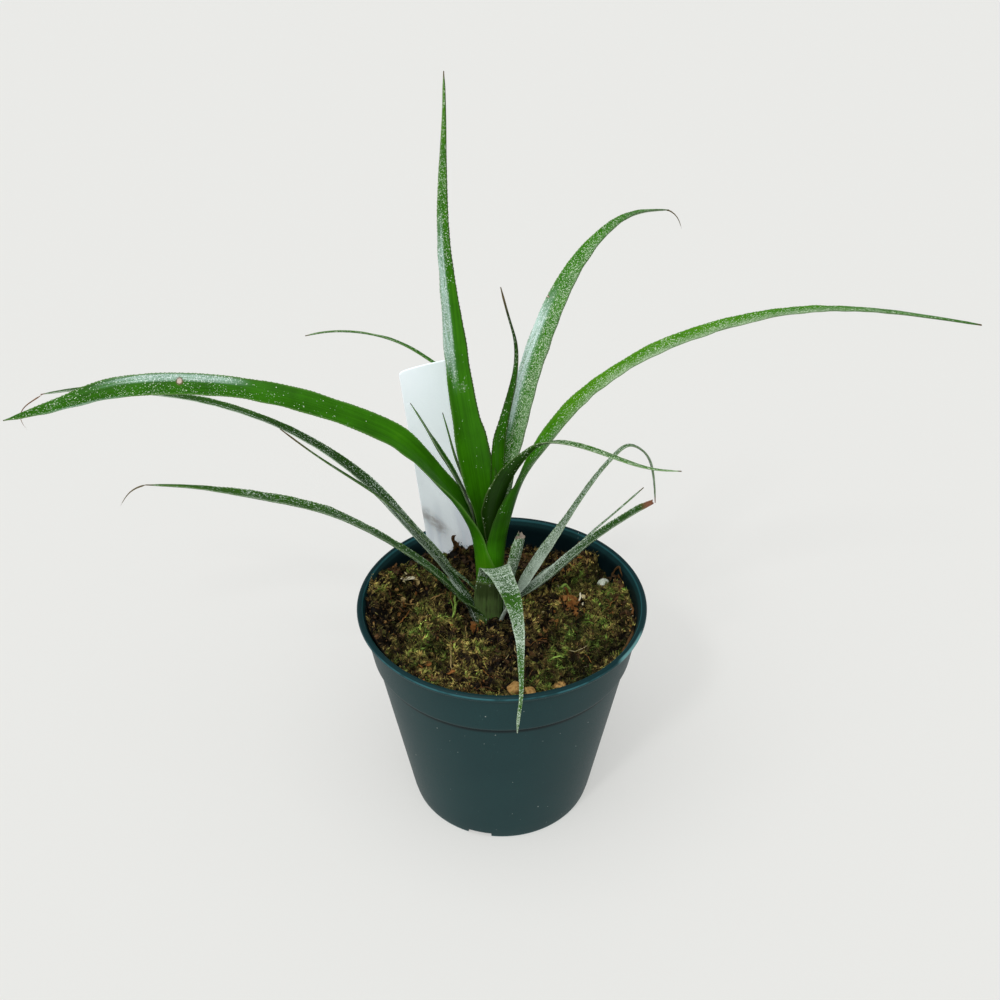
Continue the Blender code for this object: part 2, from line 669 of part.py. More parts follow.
def along_rows(values, knots, where):
    """Monotone cubic interpolation of one column of the rows: no overshoot between rows."""
    steps = np.diff(knots)
    slopes = np.diff(values) / steps
    tangents = np.zeros(len(values))
    tangents[0] = slopes[0]
    tangents[-1] = slopes[-1]
    for i in range(1, len(values) - 1):
        if slopes[i - 1] * slopes[i] > 0:
            tangents[i] = 2 * slopes[i - 1] * slopes[i] / (slopes[i - 1] + slopes[i])
    span = np.clip(np.searchsorted(knots, where, side="right") - 1, 0, len(steps) - 1)
    t = (where - knots[span]) / steps[span]
    start = (1 + 2 * t) * (1 - t) ** 2 * values[span] + t * (1 - t) ** 2 * steps[span] * tangents[span]
    end = t * t * (3 - 2 * t) * values[span + 1] + t * t * (t - 1) * steps[span] * tangents[span + 1]
    return start + end


def leaf_body(leaf):
    """A thick blade: arcs of radius R and half width w, square to the midrib.

    A point at the angle a = w / R across is the arc's centre plus R (sin a side - cos a up).
    """
    heading = math.radians(leaf["heading"])
    outward = np.array((math.cos(heading), math.sin(heading), 0.0))
    sideways = np.array((-math.sin(heading), math.cos(heading), 0.0))
    rows = np.array(leaf["rows"], dtype=float)
    rows[:, :5] *= MM
    points = np.array(NECK) + rows[:, :1] * outward + rows[:, 1:2] * sideways
    points[:, 2] = rows[:, 2]
    path, where, knots = smooth_path(points, STATION_SPACING)
    half = along_rows(rows[:, 3], knots, where)
    radius = along_rows(rows[:, 4], knots, where)
    twist = np.radians(along_rows(rows[:, 5], knots, where))
    tangent = np.gradient(path, axis=0)
    tangent /= np.linalg.norm(tangent, axis=1)[:, None]
    side = sideways - (tangent @ sideways)[:, None] * tangent
    side /= np.linalg.norm(side, axis=1)[:, None]
    up = np.cross(tangent, side)
    side = np.cos(twist)[:, None] * side + np.sin(twist)[:, None] * up
    up = np.cross(tangent, side)

    columns = leaf["columns"]
    across = np.linspace(-1.0, 1.0, columns)
    stations = len(path)
    toothed = np.where(half > TOOTHED_HALF_WIDTH, TOOTH_LENGTH, 0.0)
    toothed[where < SMOOTH_SHEATH_SHARE * knots[-1]] = 0.0
    reach = half[:, None] * across[None, :]
    reach[0::2, 0] -= toothed[0::2]
    reach[1::2, -1] += toothed[1::2]
    angle = reach / radius[:, None]
    sine = np.sin(angle)[:, :, None]
    cosine = np.cos(angle)[:, :, None]
    curl = radius[:, None, None]
    middle = path[:, None, :] + curl * ((1 - cosine) * up[:, None, :] + sine * side[:, None, :])
    normal = cosine * up[:, None, :] - sine * side[:, None, :]
    thick = EDGE_THICKNESS + (leaf["thickness"] * MM - EDGE_THICKNESS) * (1 - across ** 2)
    lift = normal * (thick / 2)[None, :, None]
    upper = middle + lift
    lower = middle - lift
    rings = np.concatenate([upper, lower[:, ::-1]], axis=1)
    around = 2 * columns
    faces = []
    for station in range(stations - 1):
        here = station * around
        there = here + around
        for index in range(around):
            following = (index + 1) % around
            if index < columns:
                faces.append((here + index, here + following, there + following))
                faces.append((here + index, there + following, there + index))
            else:
                faces.append((here + index, here + following, there + index))
                faces.append((here + following, there + following, there + index))
    for end in (0, (stations - 1) * around):
        for index in range(columns - 1):
            opposite = around - 1 - index
            faces.append((end + index, end + index + 1, end + opposite - 1, end + opposite))
    return body_from(rings.reshape(-1, 3), faces)


def make_leaves(materials):
    for name, leaf in LEAVES.items():
        add_object(name, leaf_body(leaf), materials[leaf["colour"]], smooth_angle=50)


def make_tag(soil, material):
    tag = add_object("plant_tag", tag_body(0.0), material)
    slot = add_object("cutter_tag_slot", tag_body(TAG_SLOT_CLEARANCE), material)
    cut(soil, slot)
    return tag


def make_chips(soil, bark, perlite):
    """Crumbs sunk by a third in the moss, each in a pocket of its own."""
    for number, (name, (x, y, z, size)) in enumerate(CHIPS.items()):
        centre = Vector((x, y, z)) * MM
        material = perlite if name.startswith("perlite") else bark
        chip = chip_body(centre, size * MM, np.random.default_rng(CHIP_SEED + number))
        pocket_size = (size + CHIP_POCKET_CLEARANCE) * MM
        pocket = chip_body(centre, pocket_size, np.random.default_rng(CHIP_SEED + number))
        add_object(name, chip, material)
        cut(soil, add_object("cutter_" + name, pocket, material))


def main():
    clear_scene()
    pot_plastic = make_material("pot_plastic", (0.022, 0.062, 0.066), 0.42)
    soil_moss = make_material("soil_moss", (0.075, 0.055, 0.022), 0.95, 0.2)
    stem_green = make_material("stem_green", (0.20, 0.30, 0.09), 0.5)
    young = make_material("young_leaf", (0.045, 0.20, 0.018), 0.35)
    old = make_material("old_leaf", (0.16, 0.24, 0.12), 0.6)
    vinyl = make_material("tag_vinyl", (0.78, 0.80, 0.84), 0.4)
    bark = make_material("bark", (0.42, 0.22, 0.07), 0.85, 0.3)
    perlite = make_material("perlite", (0.80, 0.80, 0.76), 0.9, 0.3)

    make_pot(pot_plastic)
    soil = make_soil(soil_moss)
    make_stem(stem_green)
    cut(soil, neck_hole(soil_moss))
    make_leaves({"young": young, "old": old})
    make_tag(soil, vinyl)
    make_chips(soil, bark, perlite)
    bpy.context.view_layer.update()


main()
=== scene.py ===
"""Looks of the potted bromeliad: fine leaves, moss, pot, tag and crumbs round the fixed frame.

Metres, +Z up, in the frame's own axes. Lengths in the tables are in millimetres. Every new
piece is one or more closed bodies, worked out as whole arrays of points.
"""
import math

import bpy
import numpy as np
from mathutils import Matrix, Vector


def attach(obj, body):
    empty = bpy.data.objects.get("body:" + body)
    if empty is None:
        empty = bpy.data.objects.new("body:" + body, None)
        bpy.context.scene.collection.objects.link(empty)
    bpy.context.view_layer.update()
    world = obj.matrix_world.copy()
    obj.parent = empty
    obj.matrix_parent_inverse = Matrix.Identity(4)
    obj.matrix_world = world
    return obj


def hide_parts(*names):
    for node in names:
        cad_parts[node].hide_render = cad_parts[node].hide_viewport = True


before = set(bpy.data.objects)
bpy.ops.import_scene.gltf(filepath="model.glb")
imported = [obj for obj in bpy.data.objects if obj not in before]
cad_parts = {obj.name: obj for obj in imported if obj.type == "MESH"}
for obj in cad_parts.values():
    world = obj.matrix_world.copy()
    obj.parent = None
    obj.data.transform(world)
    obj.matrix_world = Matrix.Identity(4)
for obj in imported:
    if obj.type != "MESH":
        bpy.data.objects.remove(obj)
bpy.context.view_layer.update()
scene = bpy.context.scene

MM = 0.001

# Camera: the photograph's viewing angle, with its frame taken as 1000 x 1000
CAMERA_PLACE = (-0.0007, -0.3229, 0.3487)
CAMERA_AIM = (-0.0007, 0.0, 0.135)
CAMERA_LENS = 39.6
SENSOR_WIDTH = 36.0
NEAREST_SEEN = 0.01

# Pot, as in the frame, with the finer form of its foot, step and lip
POT_HEIGHT = 91.4 * MM
POT_BASE_RADIUS = 36.1 * MM
POT_STEP_RADIUS = 48.3 * MM
POT_STEP_HEIGHT = 71.6 * MM
BAND_BOTTOM_RADIUS = 49.3 * MM
BAND_TOP_RADIUS = 51.9 * MM
LIP_RADIUS = 54.0 * MM
LIP_HEIGHT = 2.4 * MM
LIP_BOTTOM = POT_HEIGHT - LIP_HEIGHT
LIP_FLATNESS = 0.95
POT_WALL = 1.1 * MM
POT_FLOOR = 1.5 * MM
BASE_ROUNDING = 1.2 * MM
FLOOR_DISC_RADIUS = 8 * MM
POT_SIDES = 180
POT_WAVER = 0.12 * MM
POT_CREASE_ANGLE = 38
DRAIN_NOTCH_COUNT = 4
DRAIN_NOTCH_FIRST_ANGLE = 256.0
DRAIN_NOTCH_WIDTH = 9.5 * MM
DRAIN_NOTCH_HEIGHT = 2.6 * MM
DRAIN_NOTCH_DEPTH = 4.0 * MM

# Soil, as in the frame. Each mound: x, y, rise and spread in mm
SOIL_LEVEL = 79.5 * MM
SOIL_TOP_RADIUS = 49.0 * MM
SOIL_FOOT_RADIUS = 33.0 * MM
SOIL_SIDES = 200
SOIL_RINGS = 62
SOIL_MIDDLE_SHARE = 0.012
SOIL_LUMP = 0.55 * MM
SOIL_SINK = 0.4 * MM
SOIL_MOUNDS = (
    (-4, 2, 2.6, 13), (36, 34, 4.5, 7), (-18, 38, 3, 8), (28, 12, 2, 8), (12, -14, 1.8, 9),
    (-26, -6, 1.6, 9), (44, 6, -3, 12), (8, 40, -1.5, 9), (-6, -38, -1.5, 12),
)
# Moss heaped against the tag, in the same form
HEAPS = (
    (-14, 38.5, 4.6, 5), (-22, 36.5, 1.6, 5),
)
# Where the moss climbs the wall: direction in degrees, the cosines of the turn from it at which
# the bank starts and is full, its rise and where it starts from the axis, in mm
BANKS = (
    (190, 0.58, 0.93, 9.5, 34), (-15, 0.5, 0.9, 5.5, 41), (-90, 0.1, 0.9, 3, 42),
)
# Finer relief of the soil: height and wave length of large and small cushions and of tufts
LARGE_CUSHION, LARGE_WAVE = 2.6 * MM, 19 * MM
SMALL_CUSHION, SMALL_WAVE = 1.8 * MM, 7.5 * MM
TUFT_RISE, TUFT_WAVE = 0.9 * MM, 3.4 * MM
# How far round each chip that relief is levelled, in mm
CALM_ROUND_CHIPS = 5
# The plant's neck, which loose bits keep clear of
NECK = (-4.5 * MM, 3.0 * MM)
NECK_RADIUS = 6.4 * MM

# Patches of the soil's top: x, y and spread in mm, tone from black soil (0) through brown
# and olive to bright green (1), and lightness
PATCHES = (
    (-46, 29, 6, 0.38, 0.9), (-51, 16, 5, 0.12, 0.35), (-45, 8, 5, 0.48, 1.1), (-48, -5, 7, 0.22, 0.4),
    (-43, -16, 6, 0.25, 0.45), (-38, 13, 9, 0.5, 0.65), (-28, 13, 7, 0.52, 0.6), (-33, -1, 7, 0.62, 1),
    (-30, -14, 9, 0.72, 1.1), (-36, -23, 4, 0.4, 0.35), (-28, -26, 7, 0.64, 0.85),
    (-22, -34, 7, 0.5, 1.05), (-24, 20, 6, 0.45, 0.45), (-18, 10, 6, 0.4, 0.5),
    (-13, -4, 5, 0.46, 1.35), (-10, -5, 3, 0.4, 1.3), (-19, -12, 6, 0.58, 0.6),
    (-12, -16, 6, 0.46, 1.4), (-5, -19, 6, 0.78, 0.75), (-17, -28, 6, 0.44, 1.1),
    (-9, -30, 8, 0.41, 1.3), (-4, -2, 5, 0.15, 0.35), (-3, -12, 6, 0.28, 0.5), (1, -25, 6, 0.3, 0.6),
    (2, -38, 5, 0.55, 0.8), (11, 5, 6, 0.43, 1.3), (16, -4, 7, 0.43, 1.35), (26, 10, 6, 0.4, 1.35),
    (24, 18, 3, 0.95, 1.2), (12, -16, 7, 0.3, 0.36), (26, -11, 8, 0.85, 0.32), (33, -4, 6, 0.74, 0.36),
    (19, -22, 3, 0.95, 1), (28, -20, 6, 0.7, 0.72), (15, -30, 7, 0.74, 0.52), (26, -31, 6, 0.7, 0.55),
    (38, -17, 7, 0.66, 0.33), (39, -1, 7, 0.66, 1), (43, 11, 6, 0.75, 1.2), (48, 5, 5, 0.42, 0.7),
    (48, -7, 5, 0.38, 0.6), (32, 32, 5, 0.55, 1.15), (35, 22, 6, 0.75, 0.9), (17, 22, 6, 0.35, 0.25),
    (-42, 40, 7, 0.42, 0.7), (-32, 43, 7, 0.3, 0.5), (-17, 35, 7, 0.35, 0.7), (3, 49, 6, 0.32, 0.6),
    (14, 53, 6, 0.3, 0.5), (21, 37, 6, 0.35, 0.7), (30, 47, 6, 0.35, 0.6),
)
# What the soil between the patches has: weight, tone and lightness
PLAIN_PATCH = (0.12, 0.5, 0.7)
# Waves in the soil's tone: strength, length in mm and seed
TONE_WAVES = ((0.08, 6, 21), (0.09, 2.6, 22), (0.09, 10, 23))

# Leaves, as in the frame. Each: heading in degrees, thickness in mm, colour and rows. Each row:
# out from the neck's axis and up, half width round the arc and radius of the arc, in mm; then
# the twist in degrees and the way aside in mm, both 0 where they are left out.
LEAVES = {
    "leaf_left_long": (187, 0.9, "young", (
        (4.6, 84, 6.6, 4.6), (4.6, 98, 6.8, 4.6), (5, 108, 7, 4.8), (6, 117, 6.8, 5.2),
        (9.5, 128, 5.9, 5.5, -8), (15.8, 140, 4.8, 6, -18), (21.8, 149.6, 4.3, 7, -24),
        (30.5, 160, 4.7, 8, -28), (45, 169, 4.5, 9, -30), (61, 176.3, 4.4, 9, -30),
        (81, 182.4, 4.1, 8, -30), (101, 185, 4.3, 7, -30), (121, 184.3, 4.3, 6, -28),
        (138.7, 180, 2.8, 5, -24), (156, 176, 0.4, 3, -20),
    )),
    "leaf_far_right": (5, 0.9, "young", (
        (4.6, 84, 6.6, 4.6), (4.6, 98, 6.8, 4.6), (5, 108, 7, 4.8), (5.9, 118, 5.7, 5.2, -10, -0.9),
        (8.5, 131.3, 4.3, 5.6, -15, -1.4), (13, 144.5, 4.2, 6, -10, -1.2),
        (19.8, 155.1, 5.3, 6.5, 2, -0.2), (29.5, 169, 4.7, 7.5, 6), (44.4, 182.6, 3.6, 8, 4),
        (60.5, 191.2, 3.9, 8, 2), (78, 197, 3.6, 7), (98, 201, 2.6, 6), (120, 201.3, 1.7, 5),
        (142, 198.5, 1.1, 4), (166, 194, 0.4, 2),
    )),
    "leaf_upright": (130, 0.9, "young", (
        (3.3, 86, 2.7, 3.3), (3.3, 100, 2.8, 3.3), (3.4, 114, 2.9, 3.4), (4.4, 126, 3.7, 5, 4, 0.8),
        (6.8, 138, 5, 8.5, -5, 0.7), (11, 152.6, 5.8, 9, -18), (15.2, 169.7, 4.7, 8, -22),
        (18, 187, 4.1, 8, -25), (20.3, 203, 3, 7, -25), (22.4, 220, 2.2, 6, -25),
        (22.5, 236, 1.7, 5, -25), (21.4, 251, 1.1, 4, -25), (20.3, 264, 0.6, 3, -25),
        (20, 275, 0.35, 2, -25),
    )),
    "leaf_upper_right": (50, 0.9, "young", (
        (3.3, 86, 1.3, 3.3), (3.3, 102, 1.3, 3.3), (4.3, 116, 2, 4), (7, 129.5, 4.8, 5.5),
        (10.5, 143, 5.3, 7), (14.8, 155, 5.3, 8), (21.2, 170.7, 5.1, 8), (29.8, 186.5, 4.9, 8),
        (39, 198.8, 4.3, 7), (47.5, 206.5, 3.4, 6), (58, 212, 2.7, 5), (69, 215.3, 2, 4),
        (81, 215.7, 1.7, 3), (93, 213.9, 0.95, 2), (105, 211, 0.4, 2),
    )),
    "leaf_right_curled": (335, 0.8, "young", (
        (3.3, 88, 1.4, 3.3), (3.3, 108, 1.5, 3.8, -20), (3.4, 122, 1.6, 4.5, -32, -0.3),
        (4.4, 134, 1.8, 4.5, -35, -0.3), (6.6, 142.3, 1.6, 4.5, -53), (10.6, 150, 1.2, 4.2, -60),
        (14.6, 156.3, 1.2, 4, -55), (20, 161.2, 1.3, 3, -30), (27, 163.3, 1.25, 2.5),
        (36, 163.4, 1.2, 2, 10), (49, 161.8, 0.9, 2, 10), (58, 161.3, 0.6, 2), (68, 163, 0.35, 2),
    )),
    "leaf_thin_back": (60, 0.7, "young", (
        (1.3, 103, 0.9, 1.6), (1.8, 117, 1, 2, 0, -0.4), (4.5, 130, 1.4, 3, -8, -1),
        (7, 140, 2.1, 3.5, 0, -0.4), (7.7, 150.3, 2.6, 3), (11.2, 161, 1.8, 3), (16, 170, 1.3, 2.5),
        (18.6, 177.8, 0.9, 2), (18.4, 186, 0.7, 2), (14.8, 195, 0.45, 2), (8, 210.5, 0.35, 2),
    )),
    "leaf_inner_left": (180, 0.65, "young", (
        (5, 119, 0.8, 4.5), (6.1, 126, 1.4, 4), (9.4, 136.5, 2.1, 3.5), (13.5, 146, 2.1, 3),
        (17.2, 153, 2, 2.5), (21, 161.5, 0.9, 2), (26.3, 172, 0.35, 2),
    )),
    "leaf_inner_sliver": (165, 0.65, "young", (
        (6.1, 127, 0.6, 2, 0, -1.2), (9.4, 138.5, 0.9, 2, 0, -1.2), (12.2, 147.6, 0.8, 2, 0, -0.5),
        (14.3, 157.3, 0.5, 2), (16.4, 166, 0.35, 2),
    )),
    "leaf_centre_spear": (235, 0.8, "young", (
        (0.8, 99.1, 0.8, 1.2), (1, 116, 1.1, 1.2), (1.2, 134, 0.4, 1),
    )),
    "leaf_back_left": (112, 0.7, "young", (
        (5.8, 82, 1.6, 5.7), (6, 98, 1.8, 5.5), (8.5, 113, 2, 4.5, 0, -0.5),
        (14.5, 131, 1.9, 3.5, 0, -2), (21, 146, 1.6, 3, 0, -3.2), (26.7, 157, 1.4, 2.5, 10, -3.2),
        (34, 165, 1.2, 2.5, 20), (40.7, 169.5, 1, 2.5, 30, 5.7), (47, 174, 1, 2.5, 30, 12.7),
        (54.5, 176.7, 1.2, 2, 30, 21.5), (61.5, 176.8, 1.05, 2, 30, 29.5),
        (67.7, 175.5, 0.6, 2, 30, 37), (75, 172, 0.35, 2, 30, 44.5),
    )),
    "leaf_low_left_front": (200, 0.8, "old", (
        (5.7, 80, 1.4, 5.7), (6.4, 85.6, 1.6, 5.5), (11.1, 91.3, 2.9, 5), (17.8, 100.4, 4.1, 5),
        (30, 116, 3.3, 5), (44, 130, 2.9, 5), (60, 142.3, 3.2, 5), (81, 152.7, 2.6, 4),
        (100, 160.6, 1, 3), (113, 164.2, 0.35, 2),
    )),
    "leaf_low_left_back": (168, 0.8, "old", (
        (5.7, 80, 1.3, 5.7), (7.1, 85.6, 1.5, 5.5), (12, 92.3, 2.4, 5), (17.8, 101, 3.4, 5),
        (29.3, 115.4, 3.3, 5), (40.8, 129.3, 3.5, 5), (52, 140, 2.9, 5), (62.5, 147.5, 2.2, 5),
        (85, 157, 1.9, 4), (106, 161.2, 2, 4), (133, 161.8, 2, 3), (153, 160.4, 1.3, 2.5),
        (170, 156.5, 0.4, 2),
    )),
    "leaf_low_left_thin": (179, 0.65, "old", (
        (5.7, 93, 0.8, 5), (8.3, 96.3, 0.9, 3), (13, 101, 1, 3), (20, 111, 1, 2.5),
        (27, 120.5, 0.95, 2), (37, 132, 0.9, 2), (48, 141.3, 0.75, 2), (60.7, 151.5, 0.45, 2),
        (71.5, 161.4, 0.35, 2),
    )),
    "leaf_front_drooping": (285, 0.8, "old", (
        (5.6, 80, 1.9, 5.7, 0, -1.2), (5.7, 90, 2.5, 5.7, 0, -1.2), (5.9, 99, 3.8, 6, 0, -1),
        (6.6, 105.5, 4.9, 9, 0, -0.6), (8.6, 108.6, 5.3, 14, 0, -0.2), (12.6, 108.9, 4.4, 12, 0, 0.7),
        (17.9, 108, 3.8, 9, 0, 1.3), (22.7, 107, 3.4, 7, 0, 1.7), (31.4, 104.3, 2.5, 6, 0, 1.4),
        (40.4, 101.2, 1.6, 5, 0, 0.2), (48.2, 98.7, 1.1, 4, 0, -1.7), (55.5, 95.9, 0.8, 3, 0, -3.6),
        (59.9, 92.8, 0.65, 3, 0, -5), (61.9, 88, 0.6, 3, 0, -6.2), (62.7, 80.8, 0.35, 3, 0, -6.9),
    )),
    "leaf_cut_stub": (345, 0.8, "old", (
        (5.9, 81, 1.1, 3), (6.2, 87.5, 1.5, 2.3), (7.6, 94, 3.2, 2), (10, 104.4, 4.8, 2.3),
        (11.9, 112.9, 4.8, 2.2), (12.9, 119.3, 3.9, 2),
    )),
    "leaf_right_hooked": (22, 0.8, "old", (
        (2, 80.5, 1.1, 5.7, -70, -5.6), (3.3, 86, 1.3, 6, -60, -6.9), (8.3, 92.7, 2.3, 6, -20, -6.5),
        (13.3, 98.8, 3.3, 6, 0, -5.6), (20.4, 109.3, 3, 6, 0, -5.4), (27.6, 120, 1.9, 5, 0, -5.4),
        (37, 133.8, 1.25, 4, 0, -5.4), (46.2, 144, 1, 3, 0, -5.4), (51.5, 147, 0.9, 3, 0, -5.4),
        (56, 145, 1, 3, 0, -5.4), (60, 140.5, 1, 3, 0, -5.4), (62.8, 133, 0.7, 3, 0, -5.4),
        (65, 119, 0.35, 3, 0, -5.4),
    )),
    "leaf_right_cut": (355, 0.8, "old", (
        (5.8, 80, 0.9, 5, 13, 1.3), (6.7, 86, 1, 5, 13, 1.5), (11, 90.3, 2.3, 4, 6, 0.6),
        (19.1, 96.9, 3.6, 4), (25.3, 103.6, 3.7, 4), (36.7, 117.2, 2.9, 4), (47, 127, 2.3, 3.5),
        (53, 132, 2.1, 3), (57.5, 135.3, 1.4, 2.5),
    )),
    "leaf_right_thin": (14, 0.65, "old", (
        (5.9, 81, 0.6, 5, 12, 1.3), (6.9, 86, 0.8, 4, 12, 1.3), (13, 88.8, 0.9, 3, 0, 0.4),
        (19, 95.4, 0.95, 3), (26.4, 100.1, 0.95, 3), (32.7, 105.3, 0.85, 3), (39.8, 112.8, 0.6, 3),
        (44.8, 117.2, 0.45, 3), (58.4, 129.2, 0.35, 3),
    )),
}

# Finish of each leaf. dry: mm of dry tip. scurf rows: share of the length, white scale cover of
# the upper and of the lower face. lean: how much more cover the leaf's +side half has. edge:
# more cover at the margins. lines and bands: how far the cover follows the veins, or bars across
# the leaf. spots: place along and across and size in mm, and cover, of extra scurf. bloom rows,
# waxy bloom with a painted sheen: start and end along in mm, range across from -1 to 1, strength
# of the wax and its painted sheen. rust: how red the dry parts are, or how bleached below 0.
# ragged: mm that a cut end is torn. tone: from deep (0) to fresh yellow green (1); on old leaves
# the tones from 0.9 up darken again, as painted shade. fade: how much fresher the tip is than the
# foot. tones: share of the length and tone there, in place of tone and fade. margins: each side's
# line, from painted shade (-1) to pale (1). scars: along, across and size in mm. tail: points in mm
# of the dry thread past the tip. wrap rows: height in mm, and what the sheath adds to its - and +
# side half width there, so that the leaf feet clasp each other. wrap_out: mm that this part passes
# outside its neighbour.
PLAIN_FINISH = {
    "lean": 0, "edge": 0, "lines": 0, "bands": 0, "spots": (), "bloom": (), "rust": 0, "ragged": 0,
    "fade": 0.2, "tones": (), "margins": (1, 1), "scars": (), "tail": (), "wrap": ((0, 0, 0),),
    "wrap_out": 0,
}
